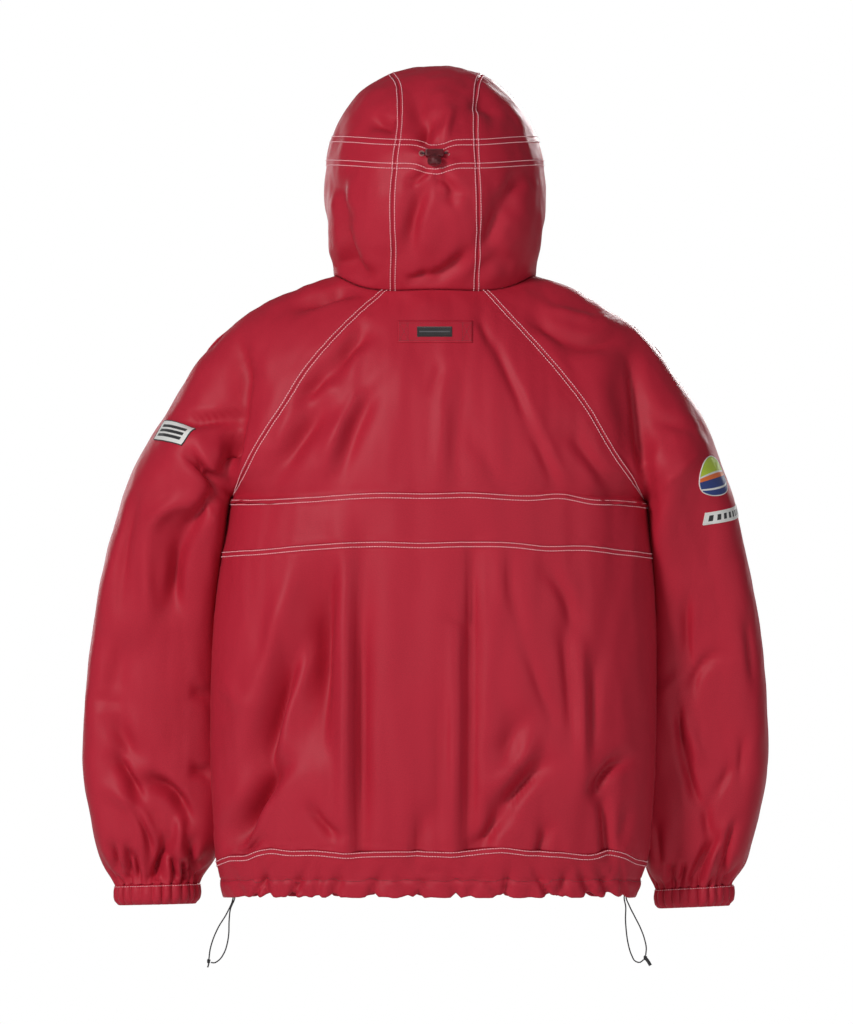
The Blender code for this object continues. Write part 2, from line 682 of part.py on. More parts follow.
def sleeve(name, side, cloth):
    """One-piece raglan sleeve: an open cap between the two raglan seams, then a tube."""
    rows = []
    for row in CAP_ROWS:
        turns = spaced(-1, 1, SLEEVE_COLUMNS + 1)
        if row == 1.0:
            turns = turns[:-1]
        line = [sleeve_point(side, row, turn) for turn in turns]
        push = SEAM_SHIFT + (CLOTH + UNDERARM_GAP) * ease(0.6, 1.0, row)
        line[0] = line[0] + raglan_mitre(side, row, False) * push
        if row < 1.0:
            line[-1] = line[-1] + raglan_mitre(side, row, True) * push
        if row == 0:
            for j, turn in enumerate(turns):
                wrap = 90.0 - RAGLAN_BACK_ANGLE if turn < 0 else RAGLAN_FRONT_ANGLE - 90.0
                line[j] = below_neck(line[j], side * (90.0 + turn * wrap))
        rows.append(line)
    for row in ARM_ROWS:
        turns = [-1 + 2 * j / SLEEVE_COLUMNS for j in range(SLEEVE_COLUMNS)]
        rows.append([sleeve_point(side, row, turn) for turn in turns])
    for row, fade in PLEAT_ROWS:
        rows.append(pleated(side, row, PLEAT_DEPTH * fade, 2 * CUFF_PLEATS))
    return loft(name, rows, cloth, round_from=len(CAP_ROWS) - 1)


def cuff(name, side, cloth):
    """Elasticated cuff below the sleeve's last ring, with the same pleats."""
    top = pleated(side, PLEAT_ROWS[-1][0], PLEAT_DEPTH, 2 * CUFF_PLEATS)
    centre = sum(top) / len(top)
    rows = []
    for share in spaced(0, 1, CUFF_ROWS + 1):
        line = []
        for point in top:
            drop = np.array([0.0, 0.0, -CUFF_SEAM - CUFF_DEPTH * share])
            draw = (centre - point) * CUFF_DRAW * share
            draw[2] = (centre[2] - point[2]) * CUFF_LEVEL * share
            line.append(point + drop + draw)
        rows.append(line)
    return loft(name, rows, cloth, round_from=0)


def hood_panel(name, first, last, columns, cloth):
    """One hood panel between two seams, given as functions of s that return angles."""
    rows = []
    for s in HOOD_ROWS:
        line = []
        for angle in spaced(first(s), last(s), columns + 1):
            point = hood_point(s, angle)
            if s == 0:
                point = point + neck_mitre(angle) * NECK_SHIFT
            line.append(point)
        rows.append(line)
    return loft(name, rows, cloth)


def hood(cloth):
    """Three-piece hood from the neck seam over the crown to the face edge."""
    part = math.degrees(SEAM_SHIFT / NECK_HALF_WIDTH)
    hood_panel("hood_centre", lambda s: -hood_seam(s, -1) + part, lambda s: hood_seam(s, 1) - part, 4, cloth)
    hood_panel("hood_side_left", lambda s: -hood_last(s), lambda s: -hood_seam(s, -1) - part, 8, cloth)
    hood_panel("hood_side_right", lambda s: hood_seam(s, 1) + part, hood_last, 8, cloth)


def surface(name):
    """Search tree of a cloth piece's middle surface."""
    mesh = bpy.data.objects[name].data
    return BVHTree.FromPolygons([v.co for v in mesh.vertices], [list(p.vertices) for p in mesh.polygons])


def land(tree, point, out):
    """Where a point, moved in along a direction, meets a cloth piece; all in millimetres."""
    start = Vector((point + out * PROBE_REACH) * MM)
    hit = tree.ray_cast(start, Vector(-out))[0]
    return np.array(hit) / MM


def applied(name, carrier, frame, size, finish, cells, roundness=0.0, wall=PATCH_THICKNESS, under=CLOTH):
    """A small flat piece sewn on a cloth piece: its points are the carrier's, moved out. The frame
    is its middle and its crosswise and upward directions."""
    centre, across, up = frame
    out = np.cross(across, up)
    tree = surface(carrier)
    lift = under / 2 + PATCH_GAP + wall / 2
    rows = []
    for v in spaced(1.0, -1.0, cells[1] + 1):
        line = []
        for u in spaced(-1.0, 1.0, cells[0] + 1):
            right = u * math.sqrt(1 - roundness * v * v / 2) * size[0] / 2
            high = v * math.sqrt(1 - roundness * u * u / 2) * size[1] / 2
            line.append(land(tree, centre + across * right + up * high, out) + out * lift)
        rows.append(line)
    return loft(name, rows, finish, wall=wall)


def sleeve_frame(side, row, turn, up_hint):
    """Middle, crosswise and upward direction of a patch on a sleeve."""
    centre = sleeve_point(side, row, turn)
    along = sleeve_point(side, row + ROW_STEP, turn) - sleeve_point(side, row - ROW_STEP, turn)
    around = sleeve_point(side, row, turn + TURN_STEP) - sleeve_point(side, row, turn - TURN_STEP)
    out = np.cross(along, around)
    core = np.array([side * SLEEVE_CORE[0], SLEEVE_CORE[1], centre[2] - SLEEVE_CORE[2]])
    out *= np.sign(out @ (centre - core)) / np.linalg.norm(out)
    up = np.array([up_hint[0], 0.0, up_hint[1]])
    up -= out * (up @ out)
    up /= np.linalg.norm(up)
    return centre, np.cross(up, out), up


def sewn_on(cloth, white, yellow, black):
    """Tab and label under the neck seam, and the patches on the sleeves."""
    across = np.array([1.0, 0.0, 0.0])
    up = np.array([0.0, 0.0, 1.0])
    x, z, width, height = TAB
    frame = np.array([x, PROBE_Y, z]), across, up
    applied("neck_tab", "back_upper", frame, (width, height), cloth, (10, 2))
    x, z, width, height = LABEL
    frame = np.array([x, PROBE_Y, z]), across, up
    walls = LABEL_THICKNESS, PATCH_THICKNESS
    applied("neck_label", "neck_tab", frame, (width, height), black, (6, 2), 0.0, *walls)
    for name, side, row, turn, hint, size, cells, roundness, finish in ARM_PATCHES:
        finish = {"white": white, "yellow": yellow}[finish]
        carrier = "sleeve_left" if side < 0 else "sleeve_right"
        applied(name, carrier, sleeve_frame(side, row, turn, hint), size, finish, cells, roundness)


def ring(name, centre, axis, finish, radius=EYELET_RADIUS):
    """An eyelet."""
    bpy.ops.mesh.primitive_torus_add(
        major_radius=radius * MM,
        minor_radius=EYELET_WIRE * MM,
        major_segments=12,
        minor_segments=6,
        location=tuple(centre * MM),
        rotation=Vector(axis).to_track_quat("Z", "Y").to_euler(),
    )
    return adopt(name, finish)


def adopt(name, finish):
    """Name the active primitive, give it its finish and move it to the garment's collection."""
    thing = bpy.context.object
    thing.name = name
    thing.data.name = name
    for holder in list(thing.users_collection):
        holder.objects.unlink(thing)
    bpy.data.collections["anorak_pullover"].objects.link(thing)
    thing.data.materials.append(finish)
    thing.data.shade_smooth()
    return thing


def cord(name, route, finish, radius=CORD_RADIUS, step=CORD_STEP):
    """A round cord along a smooth curve through its route's points."""
    route = [np.array(point, float) for point in route]
    lengths = [0.0]
    for a, b in zip(route, route[1:]):
        lengths.append(lengths[-1] + np.linalg.norm(b - a))
    along = spline([(s, *point) for s, point in zip(lengths, route)])
    count = max(4, round(lengths[-1] / step) + 1)
    curve = bpy.data.curves.new(name, "CURVE")
    curve.dimensions = "3D"
    curve.bevel_depth = radius * MM
    curve.bevel_resolution = 2
    curve.use_fill_caps = True
    line = curve.splines.new("POLY")
    line.points.add(count - 1)
    for point, s in zip(line.points, spaced(0, lengths[-1], count)):
        point.co = (*(along(s) * MM), 1.0)
    return place(name, curve, finish)


def cord_lock(plastic, button_plastic, metal, black):
    """Cord lock on the hood's back, between its two eyelets."""
    tree = surface("hood_centre")
    back = np.array([0.0, -1.0, 0.0])
    middle = land(tree, np.array([TOGGLE_X, PROBE_Y, TOGGLE_Z]), back)
    above = land(tree, np.array([TOGGLE_X, PROBE_Y, TOGGLE_Z + TOGGLE_PROBE]), back)
    below = land(tree, np.array([TOGGLE_X, PROBE_Y, TOGGLE_Z - TOGGLE_PROBE]), back)
    up = (above - below) / np.linalg.norm(above - below)
    out = np.cross(np.array([1.0, 0.0, 0.0]), up)
    turn = Matrix(((1, 0, 0), (0, -out[1], up[1]), (0, -out[2], up[2]))).to_euler()
    width, height, depth = TOGGLE_SIZE
    seat = CLOTH / 2 + PATCH_GAP + depth / 2
    centre = middle + out * seat
    bpy.ops.mesh.primitive_cube_add(size=1, location=tuple(centre * MM), rotation=turn)
    body = adopt("toggle_body", plastic)
    body.data.transform(Matrix.Diagonal((width * MM, depth * MM, height * MM, 1)))
    rounding = body.modifiers.new("rounded edges", "BEVEL")
    rounding.width = TOGGLE_ROUNDING * MM
    rounding.segments = 2
    drop = height / 2 + TOUCH + BUTTON_LENGTH / 2
    bpy.ops.mesh.primitive_cylinder_add(
        radius=BUTTON_RADIUS * MM,
        depth=BUTTON_LENGTH * MM,
        vertices=16,
        location=tuple((centre - up * drop + out * (BUTTON_RADIUS - depth / 2)) * MM),
        rotation=turn,
    )
    button = adopt("toggle_button", button_plastic)
    rounding = button.modifiers.new("rounded edges", "BEVEL")
    rounding.width = BUTTON_ROUNDING * MM
    rounding.segments = 3
    rounding.limit_method = "ANGLE"
    for side, word in ((-1, "left"), (1, "right")):
        spot = middle + np.array([side * EYELET_SPREAD, 0.0, 0.0]) + up * EYELET_RISE
        spot = land(tree, spot, out) + out * (CLOTH / 2 + PATCH_GAP + EYELET_WIRE)
        ring("hood_eyelet_" + word, spot, out, metal, HOOD_EYELET_RADIUS)
        end = centre + np.array([side * (width / 2 + TOUCH + CORD_RADIUS), 0.0, 0.0])
        route = [spot - out * CORD_SINK, spot + out * CORD_LIFT, (spot + out * CORD_TOP + end) / 2, end]
        cord("toggle_cord_" + word, route, black, step=TOGGLE_CORD_STEP)


def hem_loops(black, metal):
    """The two elastic loops: an eyelet inside the hem on each side, two strands and their knot."""
    tree = surface("hem_casing")
    for side, word in ((-1, "left"), (1, "right")):
        strands = LOOPS[word]
        y = LOOP_Y[word]
        inward = np.array([-side, 0.0, 0.0])
        x = (strands[0][0][0] + strands[1][0][0]) / 2
        hole = land(tree, np.array([x, y, LOOP_EXIT_Z]), inward)
        ahead = land(tree, np.array([x, y + GATHER_PITCH, LOOP_EXIT_Z]), inward)
        behind = land(tree, np.array([x, y - GATHER_PITCH, LOOP_EXIT_Z]), inward)
        hole = (hole + ahead + behind) / 3
        run = (ahead - behind) / np.linalg.norm(ahead - behind)
        facing = np.array([-side * run[1], side * run[0], 0.0])
        hole += facing * HEM_EYELET_LIFT[word]
        ring("hem_eyelet_" + word, hole, facing, metal)
        for letter, strand in zip("ab", strands):
            apart = np.array([0.0, STRAND_APART if letter == "a" else -STRAND_APART, 0.0])
            route = [hole + apart, hole + apart + inward * LOOP_LEAD]
            route += [np.array([x, y + apart[1], z]) for x, z in strand]
            cord(f"hem_cord_{word}_{letter}", route, black)
        x, z = KNOTS[word]
        bpy.ops.mesh.primitive_uv_sphere_add(
            segments=8, ring_count=6, radius=KNOT_RADIUS * MM, location=(x * MM, y * MM, z * MM)
        )
        adopt("hem_knot_" + word, black)


def main():
    """Build every piece of the garment."""
    for thing in list(bpy.data.objects):
        bpy.data.objects.remove(thing)
    group = bpy.data.collections.new("anorak_pullover")
    bpy.context.scene.collection.children.link(group)
    cloth = material("shell_cloth", SHELL_RED, 0.55)
    black = material("black_trim", TRIM_BLACK, 0.6)
    dark_plastic = material("toggle_plastic", TOGGLE_RED, 0.3)
    button_plastic = material("button_plastic", TOGGLE_RED, 0.35)
    metal = material("eyelet_enamel", EYELET_ROSE, 0.35, 0.6)
    white = material("patch_white", PATCH_WHITE, 0.7)
    yellow = material("patch_yellow", PATCH_YELLOW, 0.7)
    back = back_panels(cloth)
    front = front_panel(cloth)
    hem_casing(cloth, back[2], front)
    sleeve("sleeve_left", -1, cloth)
    sleeve("sleeve_right", 1, cloth)
    cuff("cuff_left", -1, cloth)
    cuff("cuff_right", 1, cloth)
    hood(cloth)
    sewn_on(cloth, white, yellow, black)
    cord_lock(dark_plastic, button_plastic, metal, black)
    hem_loops(black, metal)


main()
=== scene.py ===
"""Looks of the hooded raglan anorak pullover: cloth shells, sewing, trim, cords and stage.

The wearer faces +Y and the photographed back is towards -Y. Shapes are worked out in millimetres and
become metres in their meshes.
"""

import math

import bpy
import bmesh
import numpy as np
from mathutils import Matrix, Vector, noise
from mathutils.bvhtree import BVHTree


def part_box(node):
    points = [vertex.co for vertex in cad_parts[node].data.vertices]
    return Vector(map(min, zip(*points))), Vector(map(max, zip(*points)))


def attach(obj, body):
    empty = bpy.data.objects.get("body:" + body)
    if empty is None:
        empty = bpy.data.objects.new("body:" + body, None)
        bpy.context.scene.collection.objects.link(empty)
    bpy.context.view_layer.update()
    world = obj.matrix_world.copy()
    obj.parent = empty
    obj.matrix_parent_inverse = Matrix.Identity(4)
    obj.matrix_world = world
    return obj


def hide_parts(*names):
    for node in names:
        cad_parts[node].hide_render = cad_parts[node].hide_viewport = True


bl_info = {
    "name": "Anorak Pullover",
    "version": (1, 0, 0),
    "blender": (4, 5, 0),
    "location": "View3D > Sidebar > Anorak",
    "description": "Cloth, sewing, trim, cords and stage of a hooded anorak pullover",
    "category": "Object",
}

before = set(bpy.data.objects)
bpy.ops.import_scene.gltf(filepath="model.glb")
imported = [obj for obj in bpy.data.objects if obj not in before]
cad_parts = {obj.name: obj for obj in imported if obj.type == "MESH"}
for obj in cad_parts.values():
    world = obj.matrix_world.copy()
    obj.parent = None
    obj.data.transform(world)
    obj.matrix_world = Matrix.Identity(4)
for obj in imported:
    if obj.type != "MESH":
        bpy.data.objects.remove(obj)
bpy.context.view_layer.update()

MM = 0.001
BODY = "root"
SIDES = ((-1, "left"), (1, "right"))

# Cut lines of the garment, in millimetres, as in the frame.
NECK_HALF_WIDTH = 115.0
NECK_BACK_Y = -78.0
NECK_FRONT_Y = 84.0
NECK_FRONT_Z = -50.0
NECK_SIDE_Z = 14.0
NECK_SHIFT = 0.6
NECK_MITRE = 0.6
MITRE_STEP = 0.02
SEAM_STILL = 10.0
RAGLAN_BACK_ANGLE = 30.3
RAGLAN_FRONT_ANGLE = 132.0
SEAM_SHIFT = 0.2
UNDERARM_PUSH = 0.5

# z, left half width, right half width, depth behind and before the side seams
BODY_LINES = [
    (-230, 232, 240.6, 133, 130),
    (-241, 234, 242.4, 133, 130),
    (-300, 244, 249, 134, 131.5),
    (-367, 252.5, 253, 134, 133),
    (-471, 257.5, 254, 132, 134),
    (-561, 257, 252, 127, 131),
    (-615, 254, 248.5, 121, 126),
    (-650, 252, 245, 116, 121),
    (-676, 246, 236, 110, 115),
    (-710, 237, 222, 105, 110),
]
SIDE_SEAM_Y = -12.0
BODY_ROUNDNESS = 2.3

# t, back y, back z, front y, front z, share of a full half ring taken by the back and the front
MIDDLES = [
    (0.00, -78, 0, 84, -50, 0.5045, 0.743),
    (0.15, -103, -34, 95, -78, 0.52, 0.74),
    (0.30, -121, -69, 103.5, -106, 0.55, 0.74),
    (0.45, -133, -104, 109.5, -134, 0.60, 0.75),
    (0.60, -140, -140, 113.5, -163, 0.66, 0.77),
    (0.72, -143, -168, 115.5, -187, 0.74, 0.81),
    (0.82, -144.5, -191, 116.7, -206, 0.83, 0.87),
    (0.90, -145, -210, 117.4, -221, 0.91, 0.92),
    (0.96, -145, -224, 117.8, -232, 0.97, 0.97),
    (1.00, -145, -233.5, 118, -240, 1.00, 1.00),
]

# t, shoulder line x and z, back raglan seam x and z, front raglan seam x and z
CAP_LINES = {
    -1: [
        (0.00, 115, 14, 58, -1, 85.5, -30),
        (0.15, 156, 1, 91.5, -30.5, 108, -53),
        (0.30, 195.5, -17, 122.5, -62, 131, -81),
        (0.45, 231.5, -41, 151, -96.5, 153, -110),
        (0.60, 262.5, -71, 174, -134, 175, -143),
        (0.72, 283, -99, 194, -164, 193, -170),
        (0.82, 298.5, -123.5, 209, -189.5, 208, -193),
        (0.90, 310.5, -143, 219.5, -211, 219.5, -212),
        (0.96, 319.5, -158, 227.5, -227.5, 227.5, -227.5),
        (1.00, 325.5, -168, 234, -241, 234, -241),
    ],
    1: [
        (0.00, 115, 14, 58, -1, 85.5, -30),
        (0.15, 156, 1, 88, -34, 108, -54),
        (0.30, 194, -20.5, 119, -67.5, 131, -82),
        (0.45, 230.5, -44, 148.5, -102, 154, -112),
        (0.60, 260.5, -75.5, 175.5, -138, 177, -146),
        (0.72, 280, -104.5, 193.5, -169, 196, -173.5),
        (0.82, 296, -128.5, 209.5, -195.5, 212, -197),
        (0.90, 307.5, -148.5, 224, -216, 225.5, -216.5),
        (0.96, 314.5, -164.5, 234.5, -232.5, 235.5, -232.5),
        (1.00, 319, -175, 243, -245, 243, -245),
    ],
}
# t, y of the shoulder line and of the sleeve's inner side, y of the back and of the front raglan
# seam, degrees that the cloth wraps from the shoulder line to each seam
CAP_DEPTH = [
    (0.00, 3, 3, -67, 57.2, 59.7, 42),
    (0.15, 2, 0, -86, 76, 58, 48),
    (0.30, 0, -4, -99, 88, 57, 54),
    (0.45, -1, -7, -106, 92, 58, 60),
    (0.60, 0, -9, -108, 88, 63, 66),
    (0.72, 1, -10, -105, 82, 74, 75),
    (0.82, 3, -11, -97, 73, 94, 93),
    (0.90, 5, -11, -80, 56, 126, 124),
    (0.96, 7, -12, -49.5, 29, 154, 151),
    (1.00, 8, -12, -12, -12, 180, 180),
]
CLOSED_CAP = 0.985
# row, outer x and z, inner x and z
ARM_LINES = {
    -1: [
        (0, 325.5, -168, 234, -241),
        (1, 345, -205, 237.8, -263),
        (2, 358, -240, 240, -287),
        (3, 373.5, -285, 243.5, -319),
        (4, 385.5, -335, 247, -360),
        (5, 394, -385, 247, -403),
        (6, 400, -435, 246, -448),
        (7, 404.5, -485, 244, -493),
        (8, 406, -530, 241, -536),
        (9, 403.5, -572, 239, -576),
        (10, 396.5, -613, 240, -613),
        (11, 390, -646, 247, -645),
        (12, 382.5, -667, 256, -664),
        (13, 370, -685, 269, -682),
    ],
    1: [
        (0, 319, -175, 243, -245),
        (1, 332, -207, 245.4, -267),
        (2, 345, -240, 246.4, -289),
        (3, 357, -285, 247.5, -320),
        (4, 367.5, -335, 248, -361),
        (5, 377, -385, 246, -403),
        (6, 381.5, -435, 243, -448),
        (7, 384.5, -485, 240, -493),
        (8, 385.5, -528, 237, -534),
        (9, 382.5, -570, 235, -576),
        (10, 375, -612, 236, -615),
        (11, 366.5, -650, 241, -650),
        (12, 359, -669, 247, -671),
        (13, 348, -684, 257, -689),
    ],
}
# row, y of the sleeve's outer and of its inner line, half of its depth
ARM_DEPTH = [
    (0, 8, -12, 85),
    (1, 23, 6, 85),
    (2, 37, 23, 85),
    (3, 49, 40, 84),
    (4, 58, 53, 82),
    (5, 64.5, 62, 79),
    (6, 68.5, 67.5, 76),
    (7, 71, 71, 73),
    (8, 72, 72, 70),
    (9, 72, 72, 67),
    (10, 71, 71, 63),
    (11, 69, 69, 57),
    (12, 67, 67, 49),
    (13, 65, 65, 40),
]
# Share of the fold depth on the back of each sleeve, on the sleeves' front and on the hood.
ARM_SHARE = {-1: 1.1, 1: 0.7}
ARM_FRONT_SHARE = 0.6
# How far the front's folds, which are the other sleeve's mirrored, lie below those of the back.
FRONT_FOLD_DROP = -18.0
HOOD_SHARE = 1.3
# How much squarer than an ellipse a sleeve is at the back and at the front, the rows over which that
# starts and the rows over which it ends.
ARM_FULLNESS = (2.6, 0.8)
FULL_ROWS = (1.0, 3.5)
SLACK_ROWS = (11.0, 14.0)
# How far a sleeve's outer line is drawn in, then the outer and the inner line at its cuff.
ARM_TRIM = {-1: 1.5, 1: 3.5}
ARM_TRIM_ROWS = (1.5, 4.0)
CUFF_TRIM = {-1: (3.0, 5.0), 1: (7.5, -1.5)}
CUFF_TRIM_ROWS = (9.0, 14.0)
CUFF_ROW = 14.0
# Rows of the grids: sleeve cap and front yoke, hanging sleeve, front below the arms. Then the columns,
# or rows and columns, of the others.
CAP_ROWS = 58
ARM_ROWS = 105
FRONT_ROWS = 83
FRONT_COLUMNS = 119
SLEEVE_COLUMNS = 205
UPPER_GRID = (76, 151)
BAND_GRID = (26, 151)
LOWER_GRID = (112, 193)
HEM_GRID = (34, 192)
CUFF_GRID = (15, 241)
HOOD_ROWS = 136
HOOD_COLUMNS = {"centre": 34, "side": 78}
COLUMN_PULL = 0.3
# Rows of the front above and below its join at the arms that are evened out, how often and how much.
JOIN_ABOVE = 16
JOIN_BELOW = 9
JOIN_ROUNDS = 60
JOIN_PULL = 0.25
# Soft unevenness of the cloth, coarse and fine: share of its height, size along x, y and z, and seed.
BODY_RIPPLES = ((1.0, (30.0, 60.0, 150.0), 11.3), (0.45, (14.0, 30.0, 60.0), 5.1))
SLEEVE_RIPPLES = ((1.0, (36.0, 50.0, 90.0), 21.0), (0.45, (14.0, 20.0, 34.0), 17.0))
HOOD_RIPPLES = ((1.0, (40.0, 45.0, 60.0), 31.0), (0.5, (15.0, 18.0, 24.0), 37.0))
# How far the cloth has to face back or front before its folds start and stand in full.
SLEEVE_FACING = (0.05, 0.8)
HOOD_FACING = (-0.25, 0.25)
# How far the cloth has to face sideways before its folds sink and are lowest, and what they lose there.
BODY_SIDEWAYS = (0.82, 1.0)
BODY_CALM = 0.85
SLEEVE_SIDEWAYS = (0.75, 1.0)
SLEEVE_CALM = 0.8
# Shares of a fold's line over which it starts and stops.
FOLD_START = (-0.28, 0.42)
FOLD_STOP = (0.58, 1.28)
# Ripples beside seams: size, seed, and how far from the seam they die out.
PUCKER_GRAIN = (7.0, 7.0, 7.0)
PUCKER_SEED = 3.7
PUCKER_REACH = 11.0
# Elasticated cuffs.
CUFF_SEAM = 0.8
CUFF_DEPTH = 22.0
CUFF_PLEATS = 24
PLEAT_DEPTH = 2.7
CUFF_DRAW = 0.02
CUFF_BULGE = 2.0
CUFF_ROUNDING = 2.6
CUFF_LEVEL = 0.3
# Distances from a cuff's top between which its pleats flatten, and how much they lose; the depth above
# its edge at which it rounds in.
CUFF_FLATTENING = (8.0, 22.0)
CUFF_FLATTENED = 0.25
CUFF_ROUND_DEPTH = 7.0
CUFF_RIPPLE = (0.35, (5.0, 5.0, 6.0), 2.0)
# Heights over a cuff between which a sleeve's folds and its gathers start, and how far its pleats reach.
SLEEVE_FOLDS_FROM = (-4.0, 9.0)
CUFF_GATHERS_FROM = (-5.0, 7.0)
PLEAT_REACH = 9.0
# Folds above a cuff: number, width as a share of half the way round, height over which it doubles,
# depth, lean, then least and mean length and how much it varies.
CUFF_GATHERS = 20
CUFF_GATHER_WIDTH = 0.015
CUFF_GATHER_SPREAD = 16.0
CUFF_GATHER_DEPTH = 4.6
CUFF_GATHER_LEAN = 0.0012
CUFF_GATHER_LENGTHS = (12.0, 27.0, 24.0)
# How closely a sleeve's shift for its seam keeps to the seam, and how its lower rows close up.
SEAM_SHARPNESS = 12
ARM_ROW_PULL = 1.25

# t, share of the way from the back seam to the shoulder line, depth of the fold there
ARM_FOLD = [
    (0.00, 0.95, 0),
    (0.40, 0.95, 0),
    (0.50, 0.74, 8),
    (0.60, 0.50, 15),
    (0.72, 0.38, 18),
    (0.82, 0.28, 15),
    (0.90, 0.18, 8),
    (1.00, 0.10, 0),
]
FOLD_INNER = 0.2
FOLD_OUTER = 0.36

# Middle height, drop at the left and at the right side, and power of the drop.
BAND_TOP = (-233.5, 7.5, 11.5, 2.0)
BAND_FOOT = (-290.5, 10.5, 12.0, 2.5)
HEM_TOP = (-645.0, 11.0, 11.0, 6.0)
HEM_FOOT = -695.0
TUNNEL_Z = -677.0
# How the back's seams stray from those even lines: x and how far up.
WANDER = {
    "band_top": [
        (-234, 0), (-205, -1.6), (-169, -2.2), (-132, -1.3), (-68, 1.1), (-6, 0.1), (36, 1.3),
        (109, -0.4), (146, 3.2), (179, -1.1), (212, 0.5), (240, 0),
    ],
    "band_foot": [
        (-243, 0), (-202, -1.4), (-132, 0.6), (-68, 2), (-17, 0.5), (36, 1.8), (92, 1.2),
        (123, -1.3), (172, 1.3), (212, 0.1), (248, 0),
    ],
    "hem_top": [
        (-252, 0), (-237, 2), (-220, -0.4), (-202, 4.2), (-186, 5.6), (-172, 3.1),
        (-136, 2.2), (-101, -0.7), (-60, 1), (-6, 1), (14, 0.5), (56, 3.3), (72, 5.4),
        (106, 2.2), (145, 0.4), (182, -1), (201, 4.6), (217, 3.3), (231, -0.4), (245, 0),
    ],
}

# s, y, z, half width, half width of the middle panel to the left and to the right
HOOD_LINES = [
    (0.00, -78, 0, 115, 48.3, 47),
    (0.14, -112, 60, 118, 48.3, 50),
    (0.28, -122, 120, 122, 48.3, 49),
    (0.44, -100, 190, 124, 41.5, 46),
    (0.58, -50, 240, 126.5, 42, 47),
    (0.70, 0, 257, 126, 49, 52),
    (0.85, 60, 250, 119, 49, 51),
    (1.00, 105, 225, 111, 48, 49),
]
CROWN_FULLNESS = 0.022
CROWN_SPAN = (0.15, 0.6)
THROAT_LOW = (4.0, 84.0, -50.0)
THROAT_HIGH = (62.0, 98.0, 15.0)

# Folds, each from one end to the other: x, z, x, z, bow, half width, depth inwards and, where it
# differs, the half width on the far side, which is the left of a fold that runs down.
BACK_FOLDS = [
    (-122, -334, -131, -510, 0, 7.5, 16, 27), (-164, -415, -202, -555, 2, 9, 15, 16),
    (-176, -545, -230, -638, 4, 8, 15, 14), (-103, -310, -104, -660, 0, 8, -4),
    (-85, -330, -86, -670, 0, 12, 6.5, 6), (-12, -600, -25, -672, 0, 7, 5),
    (-142, -592, -112, -628, 3, 6, 4.5), (-200, -628, -227, -653, 0, 5, 3.5),
    (-246, -445, -214, -482, 2, 10, -2), (-160, -310, -205, -480, 2, 12, -4),
    (44, -285, 41, -430, 0, 8, 4.4, 6), (41, -400, 38, -665, 0, 10, 5.5, 5.5),
    (24, -390, 18, -655, 0, 6, -3.2), (10, -470, 4, -650, 0, 7, 3), (15, -372, 36, -388, 0, 5, 1.5),
    (74, -300, 76, -375, 0, 8, -1.5), (83, -305, 101, -405, 2, 8, 1.6), (100, -404, 137, -500, 0, 6, 1.6),
    (131, -318, 163, -396, -4, 9, 3.2), (146, -375, 158, -510, 0, 9, 2.8, 7),
    (166, -400, 169, -560, 0, 6, -2.2), (184, -425, 181, -530, 0, 6, 2.4),
    (218, -537, 182, -578, 4, 6.5, 6.5), (195, -575, 202, -668, 0, 6, 5, 8),
    (126, -542, 74, -604, 2, 8.5, 7.5, 12), (76, -600, 50, -645, 0, 9, 6.5),
    (112, -525, 70, -572, 0, 9, -3), (105, -486, 82, -540, 3, 13, 4), (129, -615, 118, -655, 0, 6, 3.4),
    (222, -590, 214, -640, 0, 8, 1.6), (-80, -46, -118, -94, 2, 10, 6.5),
    (-116, -90, -158, -124, 0, 10, 5.5), (-60, -88, -126, -210, 9, 11, -3.2),
    (-72, -102, -118, -232, 1, 13, 5), (-122, -128, -186, -220, 3, 14, 7), (9, -86, -5, -118, 0, 6, 1.4),
    (28, -108, 22, -230, 0, 9, 1.2), (8, -108, 8, -230, 0, 10, -1.2), (60, -44, 112, -163, -1, 7, 2.4),
    (112, -160, 143, -232, 0, 8, 2), (101, -115, 150, -228, 0, 8, -1.4), (49, -28, 67, -68, 0, 6, 1.6),
    (156, -163, 205, -232, 0, 9, 3), (42, -163, 78, -232, 0, 10, 1.4),
]
FRONT_FOLDS = [
    (-96, -330, -118, -470, 4, 18, 5), (-176, -400, -190, -560, -5, 16, 5),
    (-150, -560, -196, -622, -4, 12, 6), (-40, -380, -46, -650, 4, 20, 4),
    (22, -300, 30, -520, -4, 18, 4.5), (66, -500, 40, -652, 4, 14, 4.5), (118, -350, 138, -500, -5, 16, 5),
    (186, -430, 168, -590, 4, 14, 4.5), (140, -580, 104, -632, 4, 12, 5),
    (-72, -340, -80, -600, 3, 14, -2.5), (-8, -330, -4, -600, 0, 14, -2.5),
    (84, -360, 92, -560, 3, 14, -2.5), (156, -380, 160, -560, 3, 12, -2.5),
    (-98, -80, -150, -190, -5, 14, 4), (104, -84, 158, -196, 5, 14, 4), (-30, -70, -60, -160, -4, 18, 3),
    (42, -76, 70, -170, 4, 18, 3), (-160, -205, -110, -250, 4, 16, 3.5),
    (164, -212, 112, -262, -4, 16, 3.5),
]
